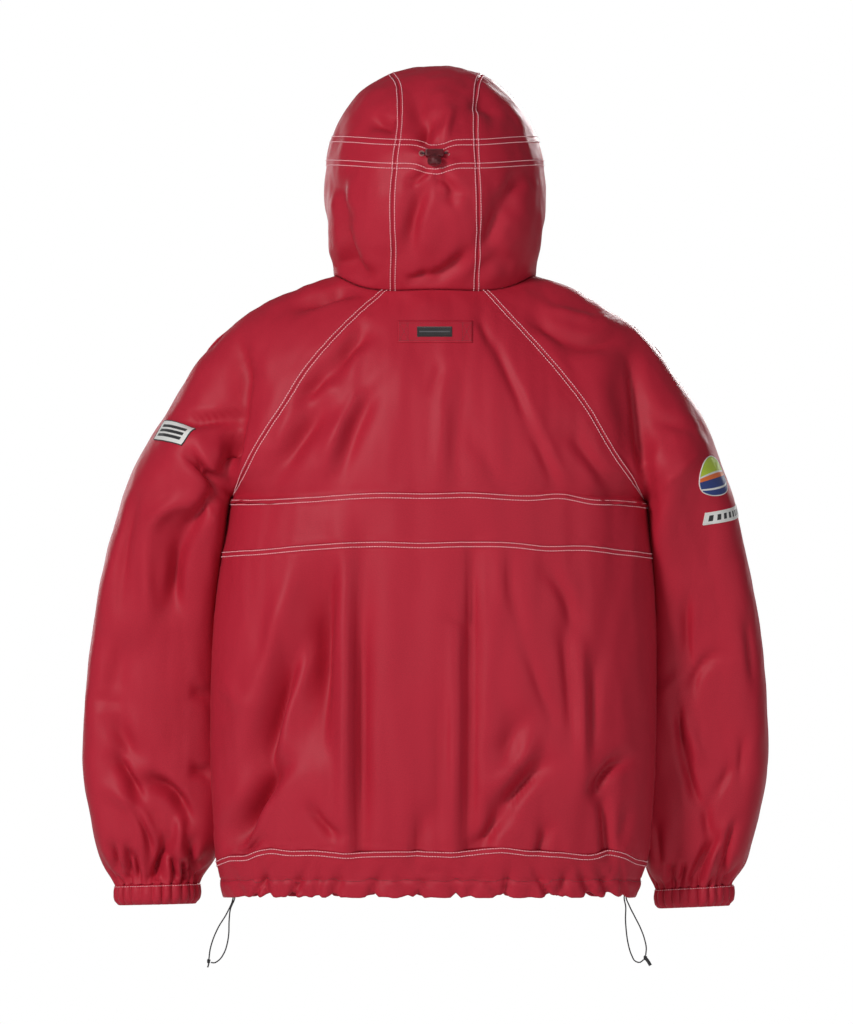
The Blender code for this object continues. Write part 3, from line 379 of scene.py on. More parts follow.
SLEEVE_FOLDS = {
    -1: [
        (-302, -148, -221, -144, 1.5, 5.5, 5.5, 9), (-283, -188, -235, -233, 2, 5.5, 8.5, 8),
        (-229, -165, -233, -215, 0, 6, 6, 9), (-246, -236, -292, -282, 2, 10, 6),
        (-293, -282, -300, -365, 2, 9, 7), (-276, -242, -330, -275, 10, 10, -4),
        (-330, -272, -328, -390, 2, 12, -4), (-348, -232, -362, -360, 2, 10, 3.5),
        (-358, -400, -372, -480, 0, 20, 4), (-396, -472, -362, -476, 0, 4, 3),
        (-370, -488, -345, -542, 0, 12, 5), (-367, -536, -338, -582, -2, 4, 6, 8),
        (-280, -462, -256, -468, 0, 8, 3), (-280, -552, -256, -556, 0, 7, 3.5),
        (-88, 2, -160, -18, 2, 7, 7), (-325, -560, -282, -604, -8, 4, 9, 12),
        (-370, -573, -327, -636, -6, 9, -5), (-350, -592, -326, -648, -4, 5, 5.5),
        (-325.4, -683, -311, -632, 1, 4, 7.5, 8), (-341.5, -683, -347, -648, 1, 4, 5.5),
        (-351, -683, -354, -640, 0, 4, 5), (-298, -683, -304, -650, 1, 4, 5.5),
        (-273, -680, -281, -636, -1, 5, 5.5), (-286, -683, -289, -658, 0, 3.5, 4.5),
        (-364, -670, -372, -638, -1, 4.5, 4.5), (-297, -650, -292, -600, 1, 6, -3.5),
    ],
    1: [
        (112, -32, 158, -60, 2, 8, 5), (152, -59, 214, -52, 7, 9, 6.5), (122, -20, 204, -38, 2, 6, -3.5),
        (246, -148, 308, -162, 0, 7, 3), (290, -355, 291, -430, 0, 4.5, 5, 9),
        (326, -418, 294, -462, 7, 6, 5), (258, -466, 284, -444, 0, 7, -3),
        (281, -482, 288, -535, 2, 4, 5.5, 6), (288, -533, 303, -590, 1, 4, 6, 7),
        (292, -495, 302, -540, 0, 7, -3), (359, -380, 366, -448, 0, 6, 3.5),
        (341, -548, 322, -580, 0, 5, 3.5), (356, -515, 350, -565, 0, 5, 3),
        (295, -683, 318, -634, -3, 4, 7, 8), (318, -634, 312, -590, -2, 7, 4.5),
        (311, -684, 341, -608, -4, 5, -4.5), (305, -683, 331, -625, -4, 3.5, 5.5),
        (270, -686, 267, -664, 0, 4, 5.5), (281, -684, 287, -660, 1, 3.5, 5),
        (332, -683, 344, -612, -2, 4, 5), (258, -676, 254, -610, 0, 6, 4),
    ],
}
# Crease where the hanging sleeve leaves the cap: x, z and depth.
CAP_CREASES = {
    -1: [
        (-229, -48, 0), (-220, -72, 8), (-216, -100, 11), (-218, -122, 10),
        (-222, -142, 11), (-227, -170, 12), (-233, -205, 12), (-237, -236, 7),
    ],
    1: [
        (229, -42, 0), (224, -77, 4), (228, -115, 12), (234, -173, 16),
        (240, -238, 7),
    ],
}
CREASE_INNER = 5.0
CREASE_OUTER = 13.0
HOOD_FOLDS = [
    (44, 216, 72, 200, -3, 10, 3.2), (-4, 200, -14, 163, 0, 8, 4), (-76, 195, -46, 187, 0, 8, 4),
    (-22, 244, -18, 172, 0, 16, 4), (19, 206, 9, 174, 0, 5, -2.5), (102, 136, 80, 96, 2, 10, 3),
    (80, 100, 58, 44, 2, 10, 3.6), (40, 42, -10, 6, -2, 8, 4), (-8, 16, -32, 8, 0, 5, 3),
    (-114, 126, -108, 80, 0, 8, 3.5), (-109, 84, -95, 24, 2, 9, 4), (-30, 121, -6, 139, 0, 5, 2.6),
    (22, 114, 6, 132, 0, 5, 2.6), (-14, 116, -30, 40, 2, 8, 4.5, 11), (28, 116, 14, 100, 0, 8, 2.5),
    (-112, 36, -76, 8, 0, 10, 4), (84, 40, 40, 12, 3, 9, 1.5),
]

# Gathers drawn up by the hem cord on the back, as x of each trough.
HEM_GATHERS = [
    -220, -206, -192, -177, -164, -150, -135, -116, -103, -72, -57, -32, -20,
    -3, 23, 40, 71, 80, 109, 130, 140, 150, 178, 187, 201, 215,
]
FRONT_GATHERS = 26
GATHER_WIDTH = 4.4
GATHER_DEPTH = 6.2
GATHER_LIFT = 4.2
# Hem casing: rise between gathers, their share at the seam and what the tunnel adds, heights from the
# tunnel between which that grows, depths below the seam where they start and stand in full, heights
# between which the panels' folds die out, depth and half width of the tunnel's groove, and swell below.
GATHER_RISE = 1.2
GATHER_SHARES = (0.32, 0.68)
GATHER_GROWTH = (14.0, -8.0)
GATHER_START = (-2.0, -26.0)
HEM_FADE = (-655.0, -690.0)
TUNNEL_GROOVE = (0.9, 1.4)
TUNNEL_SWELL = (1.3, 7.0)
HEM_RIPPLE = (0.9, (9.0, 9.0, 12.0), 8.2)

# Hood channel: heights of its four stitch rows at the middle of the back.
CHANNEL_ROWS = (171.5, 165.5, 144.5, 139.0)
CHANNEL_TUCK = 6.5
CHANNEL_TUCK_WIDTH = 17.0
CHANNEL_RISE = 5.0
CHANNEL_REACH = 104.0
# The channel's tape: heights over which its foot and its top rise, how far it stands up, and depth and
# half width of the grooves at its edges.
TAPE_FOOT = (136.0, 141.0)
TAPE_TOP = (169.5, 174.0)
TAPE_RISE = 0.9
TAPE_GROOVE = (0.4, 2.2)
# Gathers round the cord lock: depth, distance and half width of their ring, where they start.
LOCK_GATHER = 1.3
LOCK_RING = (17.0, 13.0)
LOCK_EDGE = (4.0, 12.0)
TOGGLE_MIDDLE = (-0.7, 154.5)
HOOD_PIECES = ("hood_side_left", "hood_centre", "hood_side_right")

# Distances of stitch rows from their edges in millimetres, and thinner threads in metres.
TWIN_ROWS = (1.0, 6.0)
CUFF_STITCH = 1.6
FACE_STITCH = 23.0
CUFF_THREAD = 0.0008
TUNNEL_THREAD = 0.0006
# Depth and gap of the turned-in edges at hem, cuffs and face, in millimetres.
HEM_TURN = (19.0, 2.6)
CUFF_TURN = (18.0, 2.4)
FACE_TURN = (24.0, 2.2)
# Gap under a sewn-on piece.
PATCH_GAP = 0.15
# Share of the thread's thickness by which a stitch's middle lies over the cloth's face.
THREAD_LIFT = 0.22
# How far out a search for the cloth starts: above a sewn-on piece, and round the hood.
START_ABOVE = 40.0
START_ROUND = 200.0

# Picture: points from its middle to the frame's origin, its height in points, height of the sensor.
VIEW_MIDDLE = (-8.5, -222.0)
VIEW_HEIGHT = 1024
SENSOR = 24.0
LIGHT_AIM = (0.0, 0.0, -0.25)
# The floor's size and how far the camera sees, in distances of the camera.
FLOOR_SIZE = 6
VIEW_REACH = 4
FLOOR_GREY = (0.86, 0.86, 0.86)
AMBIENT_COLOUR = (0.97, 0.97, 1.0, 1.0)
# Lights: name, place, size in metres, share of the main light's power.
LIGHTS = [
    ("key", (-3.0, -4.2, 1.8), 1.1, 1.0),
    ("low", (1.2, -5.5, -0.8), 1.6, 0.1),
    ("fill", (3.2, -4.8, 0.6), 1.4, 0.22),
    ("top", (0.0, -1.6, 3.8), 1.8, 0.04),
    ("front_key", (1.6, 5.0, 1.3), 1.1, 0.85),
    ("front_fill", (-2.2, 5.0, 0.4), 1.4, 0.2),
]

# Elastic loops at the hem in the back view: x and z along each strand, from the hem down.
LOOPS = {
    "left": (
        [(-232, -698), (-239, -716), (-249.2, -733), (-255.3, -747), (-258.6, -759),
         (-259.7, -768.7)],
        [(-230, -697), (-235.2, -712), (-236.6, -726), (-237, -740), (-238.6, -750.6),
         (-242, -761.2), (-248.4, -770.3), (-254, -773.4), (-257.4, -772.8)],
    ),
    "right": (
        [(217.5, -697), (219.2, -709), (218.9, -722.4), (219.8, -736.5), (221.8, -750.6),
         (225.7, -764), (230.2, -771.6), (235.2, -773), (239.9, -769.6)],
        [(219.5, -697), (223.4, -708), (230.2, -721.5), (236.3, -733.8), (240.8, -746.2),
         (242.8, -756.7), (242.1, -764.9)],
    ),
}
LOOP_Y = {"left": -34.0, "right": -26.0}
STRAND_APART = 1.05
LOOP_LEAD = 2.0
KNOTS = {"left": (-259.8, -771.4), "right": (241.8, -767.6)}
TAILS = {"left": (-261.3, -778.6, 0.9), "right": (247.6, -776.4, 2.0)}
# A knot's turns: number of points, share of the way round at which they start and stop, in radians, mean
# width and how much it varies, depth, height as a share of the width, and thickness as a share of the cord.
KNOT_POINTS = 26
KNOT_ENDS = (0.2, 2 * math.pi - 0.3)
KNOT_WIDTH = (1.25, 0.55)
KNOT_DEPTH = 0.75
KNOT_HEIGHT = 1.25
KNOT_CORD = 0.95
TAIL_BOW = 0.4
# Distance between the points of a knot's and of a tail's line.
KNOT_STEP = 0.5
TAIL_STEP = 1.0


def length(name, description, default):
    """A setting in metres."""
    return bpy.props.FloatProperty(name=name, description=description, default=default, unit="LENGTH")


def factor(name, description, default):
    """A setting without a unit."""
    return bpy.props.FloatProperty(name=name, description=description, default=default, subtype="FACTOR")


def tint(name, description, default):
    """A setting that is a colour."""
    return bpy.props.FloatVectorProperty(
        name=name, description=description, default=default, subtype="COLOR"
    )


class AnorakCloth(bpy.types.PropertyGroup):
    """Shell cloth and its folds."""

    wall: length("Wall", "Thickness of the cloth", 0.0012)
    seam_rise: length("Seam rise", "How far a felled seam stands up", 0.0005)
    seam_width: length("Seam width", "Width of a felled seam", 0.0072)
    pucker: length("Pucker", "Height of the ripples beside seams", 0.0010)
    ripple: length("Ripple", "Height of the cloth's soft unevenness", 0.0024)
    fold_strength: factor("Fold strength", "Scale of the depth of all folds", 2.3)
    colour: tint("Cloth", "Colour of the shell cloth", (0.43, 0.0155, 0.0345))
    weave_pitch: length("Weave pitch", "Distance between threads", 0.0007)


class AnorakSewing(bpy.types.PropertyGroup):
    """Topstitching."""

    stitch: length("Stitch", "Length of a stitch", 0.0027)
    pitch: length("Pitch", "Distance from stitch to stitch", 0.0031)
    thread: length("Thread", "Thickness of the thread", 0.0012)
    beside: length("Beside", "Distance of a stitch row from a plain seam", 0.0027)
    colour: tint("Thread", "Colour of the topstitching", (1.0, 0.5, 0.55))
    tonal: tint("Tonal thread", "Colour of the hidden sewing", (0.2, 0.01, 0.02))


class AnorakTrim(bpy.types.PropertyGroup):
    """Cords, cord lock, label and patches."""

    cord: length("Cord", "Thickness of the elastic cord", 0.0016)
    cord_colour: tint("Cord", "Colour of the cords", (0.014, 0.014, 0.016))
    lock_colour: tint("Cord lock", "Colour of the cord lock", (0.09, 0.008, 0.012))
    eyelet_colour: tint("Eyelet", "Colour of the eyelets", (0.75, 0.42, 0.40))
    patch: length("Patch", "Thickness of a patch", 0.0010)


class AnorakStage(bpy.types.PropertyGroup):
    """Camera, floor and lights."""

    distance: length("Distance", "Distance of the camera", 40.0)
    pixel: length("Pixel", "Size of one picture point at the garment", 0.00115)
    floor: length("Floor", "Height of the floor", -0.95)
    light: bpy.props.FloatProperty(
        name="Light", description="Power of the main light", default=176.0, unit="POWER"
    )
    ambient: factor("Ambient", "Strength of the light from all sides", 0.12)


SETTINGS = (
    ("anorak_cloth", AnorakCloth),
    ("anorak_sewing", AnorakSewing),
    ("anorak_trim", AnorakTrim),
    ("anorak_stage", AnorakStage),
)


def settings(name):
    """One of the garment's groups of settings."""
    return getattr(bpy.context.scene, "anorak_" + name)


def spline(table):
    """A function that runs smoothly through a table whose first column is the key."""
    table = np.array(sorted(table), float)
    keys, values = table[:, 0], table[:, 1:]
    slopes = np.gradient(values, keys, axis=0)

    def at(key):
        key = np.asarray(key, float)
        i = np.clip(np.searchsorted(keys, key) - 1, 0, len(keys) - 2)
        span = (keys[i + 1] - keys[i])[..., None]
        u = (key - keys[i])[..., None] / span
        return (
            values[i] * (1 + 2 * u) * (1 - u) ** 2
            + slopes[i] * span * u * (1 - u) ** 2
            + values[i + 1] * u * u * (3 - 2 * u)
            + slopes[i + 1] * span * u * u * (u - 1)
        )

    return at


def ease(low, high, value):
    """0 below low, 1 above high and smooth between."""
    u = np.clip((np.asarray(value, float) - low) / (high - low), 0.0, 1.0)
    return u * u * (3 - 2 * u)


def unit(way):
    """Directions at length one."""
    return way / np.maximum(np.linalg.norm(way, axis=-1, keepdims=True), 1e-9)


def stack(*columns):
    """Points from their x, y and z."""
    return np.stack(np.broadcast_arrays(*columns), axis=-1)


body_at = spline(BODY_LINES)
middle_at = spline(MIDDLES)
cap_at = {side: spline(CAP_LINES[side]) for side in (-1, 1)}
cap_depth_at = spline(CAP_DEPTH)
arm_at = {side: spline(ARM_LINES[side]) for side in (-1, 1)}
arm_depth_at = spline(ARM_DEPTH)
fold_at = spline(ARM_FOLD)
hood_at = spline(HOOD_LINES)
WANDER_AT = {name: spline(table) for name, table in WANDER.items()}
WANDER_ENDS = {name: (table[0][0], table[-1][0]) for name, table in WANDER.items()}


def neck_point(angle):
    """Points of the neck seam; the angle in degrees is 0 at the back and 180 at the front."""
    a = np.radians(angle)
    half_depth = (NECK_FRONT_Y - NECK_BACK_Y) / 2
    lift = NECK_SIDE_Z - NECK_FRONT_Z / 2
    return stack(
        NECK_HALF_WIDTH * np.sin(a),
        NECK_BACK_Y + half_depth * (1 - np.cos(a)),
        NECK_FRONT_Z / 2 * (1 - np.cos(a)) + lift * np.sin(a) ** 4,
    )


def neck_mitre(angle):
    """Directions from the body into the hood, halfway between the two walls."""
    a = np.radians(angle)
    inward = -NECK_MITRE * np.sin(a) ** 2
    return unit(stack(inward * np.sin(a), -inward * np.cos(a), 1.0))


def sleeve_row(side, row, turns):
    """Points of a sleeve. Rows 0 to 1 are the cap, rows past 1 the arm; turn runs from -1 at the
    back seam over 0 at the outer line to 1 at the front seam."""
    turns = np.asarray(turns, float)
    back = turns < 0
    if row <= 1.0:
        top_x, top_z, back_x, back_z, front_x, front_z = cap_at[side](row)
        top_y, inner_y, back_y, front_y, back_wrap, front_wrap = cap_depth_at(row)
        wrap = np.radians(np.where(back, back_wrap, front_wrap))
        seam_x, seam_z = np.where(back, back_x, front_x), np.where(back, back_z, front_z)
        seam_y = np.where(back, back_y, front_y)
        reach = np.abs(seam_y - inner_y) / np.maximum(np.sin(wrap), 1e-6)
        if row > CLOSED_CAP:
            reach = ARM_DEPTH[0][3]
    else:
        top_x, top_z, seam_x, seam_z = arm_at[side](row - 1.0)
        low = ease(*CUFF_TRIM_ROWS, row)
        top_x -= ARM_TRIM[side] * ease(*ARM_TRIM_ROWS, row) * (1 - low) + CUFF_TRIM[side][0] * low
        seam_x += CUFF_TRIM[side][1] * low
        top_y, inner_y, reach = arm_depth_at(row - 1.0)
        wrap = math.pi
    psi = turns * wrap
    power = 2 + np.where(back, *ARM_FULLNESS) * ease(*FULL_ROWS, row) * (1 - ease(*SLACK_ROWS, row))
    swell = (np.abs(np.cos(psi)) ** power + np.abs(np.sin(psi)) ** power) ** (-1 / power)
    share = (1 - np.cos(psi) * swell) / (1 - np.cos(wrap))
    points = stack(
        side * (top_x + (seam_x - top_x) * share),
        top_y + (inner_y - top_y) * share + reach * np.sin(psi) * swell,
        top_z + (seam_z - top_z) * share,
    )
    if row < 1.0:
        start = cap_at[side](0.0)
        start_x, start_z = np.where(back, start[2], start[4]), np.where(back, start[3], start[5])
        start_wrap = np.radians(np.where(back, 90 - RAGLAN_BACK_ANGLE, RAGLAN_FRONT_ANGLE - 90))
        start_psi = turns * start_wrap
        start_share = (1 - np.cos(start_psi)) / (1 - np.cos(start_wrap))
        neck = neck_point(90.0 + np.degrees(start_psi))
        fade = (1 - row) ** 4
        points[:, 0] += side * (neck[:, 0] - start[0] - (start_x - start[0]) * start_share) * fade
        points[:, 2] += (neck[:, 2] - start[1] - (start_z - start[1]) * start_share) * fade
        centre, depth = fold_at(row)
        way = 1 - share
        spread = np.where(way < centre, FOLD_INNER, FOLD_OUTER)
        dip = depth * np.exp(-(((way - centre) / spread) ** 2)) * ease(0.0, 0.06, way)
        points[:, 1] += np.where(back, dip, 0.0)
    return points


def raglan_mitre(side, row, front):
    """Direction from the body panel into the sleeve, square to the raglan seam in the back view."""
    turn = [1.0 if front else -1.0]
    below, above = min(row + MITRE_STEP, 1.0), max(row - MITRE_STEP, 0.0)
    run = (sleeve_row(side, below, turn) - sleeve_row(side, above, turn))[0]
    way = np.array([-side * run[2], 0.0, side * run[0]])
    return unit(way * (side * np.sign(way[0]) if way[0] else 1.0))


def yoke_row(facing, row, q):
    """Points of the back (facing -1) or front (facing 1) above the arms; q runs from -1 to 1."""
    back_y, back_z, front_y, front_z, back_share, front_share = middle_at(row)
    mid_y, mid_z, share = (back_y, back_z, back_share) if facing < 0 else (front_y, front_z, front_share)
    power = 2 / (2.0 + (BODY_ROUNDNESS - 2.0) * row)
    seams = {side: sleeve_row(side, row, [facing])[0] for side in (-1, 1)}
    seam = np.where((q < 0)[:, None], seams[-1], seams[1])
    widest = math.asin(min(share, 1.0) ** (1 / power))
    a = np.abs(q) * widest
    fx = np.sin(a) ** power / share
    fy = (1 - np.maximum(np.cos(a), 0.0) ** power) / (1 - max(math.cos(widest), 0.0) ** power)
    fz = (np.sin(a) / math.sin(widest)) ** 2
    points = stack(seam[:, 0] * fx, mid_y + (seam[:, 1] - mid_y) * fy, mid_z + (seam[:, 2] - mid_z) * fz)
    span = RAGLAN_BACK_ANGLE if facing < 0 else 180.0 - RAGLAN_FRONT_ANGLE
    neck = neck_point(np.abs(q) * span if facing < 0 else 180.0 - np.abs(q) * span)
    starts = {side: sleeve_row(side, 0.0, [facing])[0, 2] for side in (-1, 1)}
    start = np.where(q < 0, starts[-1], starts[1])
    start_z = middle_at(0.0)[1 if facing < 0 else 3]
    start_fx = np.sin(np.abs(q) * math.radians(span)) / math.sin(math.radians(span))
    points[:, 2] += (neck[:, 2] - start_z - (start - start_z) * start_fx**2) * (1 - row) ** 4
    for side, end in ((-1, 0), (1, -1)):
        points[end] -= raglan_mitre(side, row, facing > 0) * SEAM_SHIFT
    points[:, 1] += facing * SEAM_SHIFT * ease(0.8, 1.0, row)
    if row == 0:
        angle = q * span if facing < 0 else 180.0 - q * span
        points -= neck_mitre(angle) * NECK_SHIFT
    return points


def body_row(facing, z, q, gap=SEAM_SHIFT):
    """Points of the back or front below the arms; z is the height for each q."""
    left, right, behind, before = np.moveaxis(body_at(z), -1, 0)
    half = np.where(q < 0, left, right)
    depth = behind if facing < 0 else before
    power = 2 / BODY_ROUNDNESS
    a = np.abs(q) * math.pi / 2
    x = np.sign(q) * half * np.sin(a) ** power
    return stack(x, SIDE_SEAM_Y + facing * (gap + depth * np.maximum(np.cos(a), 0.0) ** power), z)


def seam_height(line, q):
    """Height of a seam that drops from the middle towards the sides."""
    middle, left, right, power = line
    return middle - np.where(q < 0, left, right) * np.sin(np.abs(q) * math.pi / 2) ** power


def hood_row(s, angle):
    """Points of the hood: s runs from the neck seam over the crown to the face edge, the angle in
    degrees from the middle to the throat."""
    y, z, width = hood_at(s)[:3]
    low, high = np.array(THROAT_LOW), np.array(THROAT_HIGH)
    throat = low + (high - low) * s
    top = np.array([0.0, y, z])
    foot = np.array([0.0, throat[1], throat[2]])
    last = math.pi - math.asin(throat[0] / width)
    radius = np.linalg.norm(top - foot) / (1 - math.cos(last))
    way = unit(top - foot)
    a = np.radians(angle)
    points = top - way * (radius * (1 - np.cos(a)))[:, None]
    full = CROWN_FULLNESS * np.sin(2 * a) ** 2 * ease(*CROWN_SPAN, s) * (np.cos(a) > 0)
    points[:, 0] = width * np.sin(a)
    points += (points - top + way * radius) * full[:, None]
    points[:, 2] += (NECK_SIDE_Z - NECK_FRONT_Z / 2) * (1 - s) ** 3 * np.sin(a) ** 4
    if s == 0:
        points += neck_mitre(angle) * NECK_SHIFT
    return points


def hood_last(s):
    """Angle in degrees at which the arch s ends at the throat."""
    throat = THROAT_LOW[0] + (THROAT_HIGH[0] - THROAT_LOW[0]) * s
    return 180.0 - math.degrees(math.asin(throat / hood_at(s)[2]))


def hood_seam(s, side):
    """Angle in degrees of the seam between the middle and a side of the hood."""
    width, left, right = hood_at(s)[2:5]
    return math.degrees(math.asin((left if side < 0 else right) / width))


def wander(name, x):
    """How far a back seam strays up from its even line; nothing at the side seams."""
    return WANDER_AT[name](np.clip(x, *WANDER_ENDS[name]))[..., 0]


def strayed(name, line, q):
    """Height of one of the back's seams with its strays."""
    z = seam_height(line, q)
    return z + wander(name, body_row(-1, z, q)[:, 0])


def fold_relief(table, x, z):
    """How far a table of folds pushes the cloth inwards at points of the back or front view."""
    push = np.zeros(np.shape(x))
    for x0, z0, x1, z1, bow, width, depth, *far in table:
        length = math.hypot(x1 - x0, z1 - z0)
        ux, uz = (x1 - x0) / length, (z1 - z0) / length
        along = ((x - x0) * ux + (z - z0) * uz) / length
        across = (x - x0) * uz - (z - z0) * ux - bow * 4 * along * (1 - along)
        ends = ease(*FOLD_START, along) * (1 - ease(*FOLD_STOP, along))
        spread = np.where(across > 0, far[0], width) if far else width
        spread = spread * (0.9 + 0.6 * (2 * np.clip(along, -0.3, 1.3) - 1) ** 2)
        push += depth * ends * np.exp(-((across / spread) ** 2))
    return push


def uneven(points, scale, seed):
    """Smooth noise between -1 and 1 at points, with its own scale along x, y and z."""
    flat = points.reshape(-1, 3) / np.array(scale)
    values = [noise.noise(Vector((p[0] + seed, p[1], p[2]))) for p in flat]
    return np.array(values).reshape(points.shape[:-1])


def reaches(points):
    """Distance of each grid point from the top, foot, left and right edge, along the cloth."""
    down = np.linalg.norm(np.diff(points, axis=0), axis=2)
    over = np.linalg.norm(np.diff(points, axis=1), axis=2)
    top = np.vstack([np.zeros(points.shape[1]), np.cumsum(down, axis=0)])
    left = np.hstack([np.zeros((points.shape[0], 1)), np.cumsum(over, axis=1)])
    return {"top": top, "foot": top[-1] - top, "left": left, "right": left[:, -1:] - left}


def seam_relief(points, felled, puckered):
    """Outward relief at seams: a raised fell along the edges named first, ripples beside all."""
    cloth = settings("cloth")
    rise, width = cloth.seam_rise / MM, cloth.seam_width / MM
    away = reaches(points)
    push = np.zeros(points.shape[:2])
    for edge in felled:
        push += rise * (1 - ease(width - 0.6, width + 0.9, away[edge]))
    pucker = uneven(points, PUCKER_GRAIN, PUCKER_SEED)
    for edge in (*felled, *puckered):
        push += cloth.pucker / MM * pucker * np.exp(-away[edge] / PUCKER_REACH)
    return push


def grid_normals(points, sign, ring_from=None):
    """Outward normals of a grid of points; from row ring_from on its two ends are one."""
    across = np.gradient(points, axis=1)
    if ring_from is not None:
        joint = (points[ring_from:, 1] - points[ring_from:, -2]) / 2
        across[ring_from:, 0] = joint
        across[ring_from:, -1] = joint
    return unit(np.cross(np.gradient(points, axis=0), across)) * sign


GRIDS = {}
# Distance at which points meet, in millimetres on cloth and in metres on a cord.
WELD = 0.02
TUBE_WELD = 0.000005
# How deep below its edge, and how far past it, each line of a seam flap lies.
FLAP = ((1.5, 0.4), (1.7, 4.0), (1.9, 7.0))


def turned_in(points, normals, depth, gap):
    """Rows that fold a grid's last edge inwards and run back up inside it."""
    back = unit(points[-2] - points[-1])
    rows = []
    for turn in (0.3, 0.6, 0.85):
        a = turn * math.pi
        rows.append(points[-1] - normals[-1] * gap / 2 * (1 - math.cos(a)) - back * gap / 2 * math.sin(a))
    away = reaches(points)["foot"][:, 0]
    for i in range(len(points) - 1, -1, -1):
        rows.append(points[i] - normals[i] * gap)
        if away[i] >= depth:
            break
    return np.array(rows)


def grid_quads(rows, columns):
    """Faces of a grid of points, as quads of indices."""
    index = np.arange(rows * columns).reshape(rows, columns)
    quads = [index[:-1, :-1], index[1:, :-1], index[1:, 1:], index[:-1, 1:]]
    return np.stack(quads, axis=-1).reshape(-1, 4)


def grid_patch(points, u, v):
    """A grid of points in metres with its flat coordinates, and its faces."""
    flat = np.stack([u.reshape(-1), v.reshape(-1)], axis=-1) * MM
    return points.reshape(-1, 3) * MM, flat, grid_quads(*points.shape[:2])


def search_tree(*grids):
    """Search tree of grids of points."""
    points, faces = [], []
    for grid in grids:
        faces += (grid_quads(*grid.shape[:2]) + len(points)).tolist()
        points += grid.reshape(-1, 3).tolist()
    return BVHTree.FromPolygons(points, faces)


def weld(mesh, distance, open_edges_only=False):
    """Merge points of a mesh that meet: all, or those on its open edges."""
    work = bmesh.new()
    work.from_mesh(mesh)
    spots = [spot for spot in work.verts if spot.is_boundary or not open_edges_only]
    bmesh.ops.remove_doubles(work, verts=spots, dist=distance)
    work.to_mesh(mesh)
    work.free()


def flap_patch(points, normals, away, edge):
    """Seam allowance that turns in at an edge and runs on below the neighbouring piece."""
    name, first, last = edge if isinstance(edge, tuple) else (edge, 0, None)
    sideways = name in ("left", "right")
    if sideways:
        points, normals = points.transpose(1, 0, 2), normals.transpose(1, 0, 2)
    end, inner = (-1, -2) if name in ("foot", "right") else (0, 1)
    line, out = points[end, first:last], normals[end, first:last]
    way = unit(line - points[inner, first:last])
    u, v = away["left"], away["top"]
    u, v = (u.T, v.T) if sideways else (u, v)
    u, v = u[end, first:last], v[end, first:last]
    grid, us, vs = [], [], []
    for depth, reach in ((0.0, 0.0), *FLAP):
        grid.append(line - out * depth + way * reach)
        beyond = (reach + depth) * (1 if end == -1 else -1)
        us.append(u + (beyond if sideways else 0.0))
        vs.append(v + (0.0 if sideways else beyond))
    if end == 0:
        grid, us, vs = grid[::-1], us[::-1], vs[::-1]
    grid, us, vs = np.array(grid), np.array(us), np.array(vs)
    if sideways:
        grid, us, vs = grid.transpose(1, 0, 2), us.T, vs.T
    return grid_patch(grid, us, vs)


def cloth_mesh(name, points, sign, normals=None, flaps=()):
    """Mesh of a grid of points, with its seam flaps, and a UV map that is its flat cut in metres.
    Edges that meet are welded."""
    away = reaches(points)
    patches = [grid_patch(points, away["left"], away["top"])]
    patches += [flap_patch(points, normals, away, edge) for edge in flaps]
    shift = np.cumsum([0] + [len(patch[0]) for patch in patches])
    spots = np.concatenate([patch[0] for patch in patches])
    flat = np.concatenate([patch[1] for patch in patches])
    faces = np.concatenate([patch[2] + start for patch, start in zip(patches, shift)])
    if sign < 0:
        faces = faces[:, ::-1]
    mesh = bpy.data.meshes.new(name)
    mesh.from_pydata(spots.tolist(), [], faces.tolist())
    layer = mesh.uv_layers.new(name="flat_cut")
    layer.data.foreach_set("uv", flat[faces.reshape(-1)].reshape(-1).astype(np.float32))
    weld(mesh, WELD * MM, open_edges_only=True)
    mesh.update()
    mesh.shade_smooth()
    return mesh


def placed(name, data):
    """A new object in the scene."""
    thing = bpy.data.objects.new(name, data)
    bpy.context.scene.collection.objects.link(thing)
    return thing


def made_real(thing, name):
    """The mesh of an object with its modifiers, whose object is then removed."""
    bpy.context.view_layer.update()
    mesh = bpy.data.meshes.new_from_object(thing.evaluated_get(bpy.context.evaluated_depsgraph_get()))
    mesh.name = name
    bpy.data.objects.remove(thing)
    return mesh


def put(name, data, material, slot, *nodes):
    """Place a finished piece on the garment's body, in place of its nodes."""
    thing = placed(name, data)
    if material is not None:
        data.materials.append(material)
    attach(thing, BODY)
    if nodes:
        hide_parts(*nodes)
    return thing


def walled(thing, wall, points):
    """Give a sheet its wall. Returns its flat width and length, and its area, in metres."""
    shell = thing.modifiers.new("wall", "SOLIDIFY")
    shell.thickness = wall
    shell.offset = 0.0
    area = sum(face.area for face in thing.data.polygons)
    away = reaches(points)
    width = float(away["left"][:, -1].max()) * MM
    return (width, max(float(away["top"][-1].max()) * MM, area / width)), area


def cloth_piece(node, points, sign, relief, ring_from=None, hem=None, flaps=()):
    """A cloth shell in place of its node: the base grid, its relief outwards, its turned-in hem and
    its seam flaps."""
    normals = grid_normals(points, sign, ring_from)
    push = relief(points, normals)
    if ring_from is not None:
        push[ring_from:, [0, -1]] = push[ring_from:, [0, -1]].mean(axis=1, keepdims=True)
    points = points + normals * push[..., None]
    normals = grid_normals(points, sign, ring_from)
    GRIDS[node] = (points, normals)
    shown, out = points, normals
    if hem is not None:
        shown = np.concatenate([points, turned_in(points, normals, *hem)])
        out = np.concatenate([normals, np.zeros((len(shown) - len(points), *normals.shape[1:]))])
    mesh = cloth_mesh("shell_" + node, shown, sign, out, flaps)
    thing = put("shell_" + node, mesh, cloth_finish(), "shell_cloth", node)
    size, area = walled(thing, settings("cloth").wall, shown)


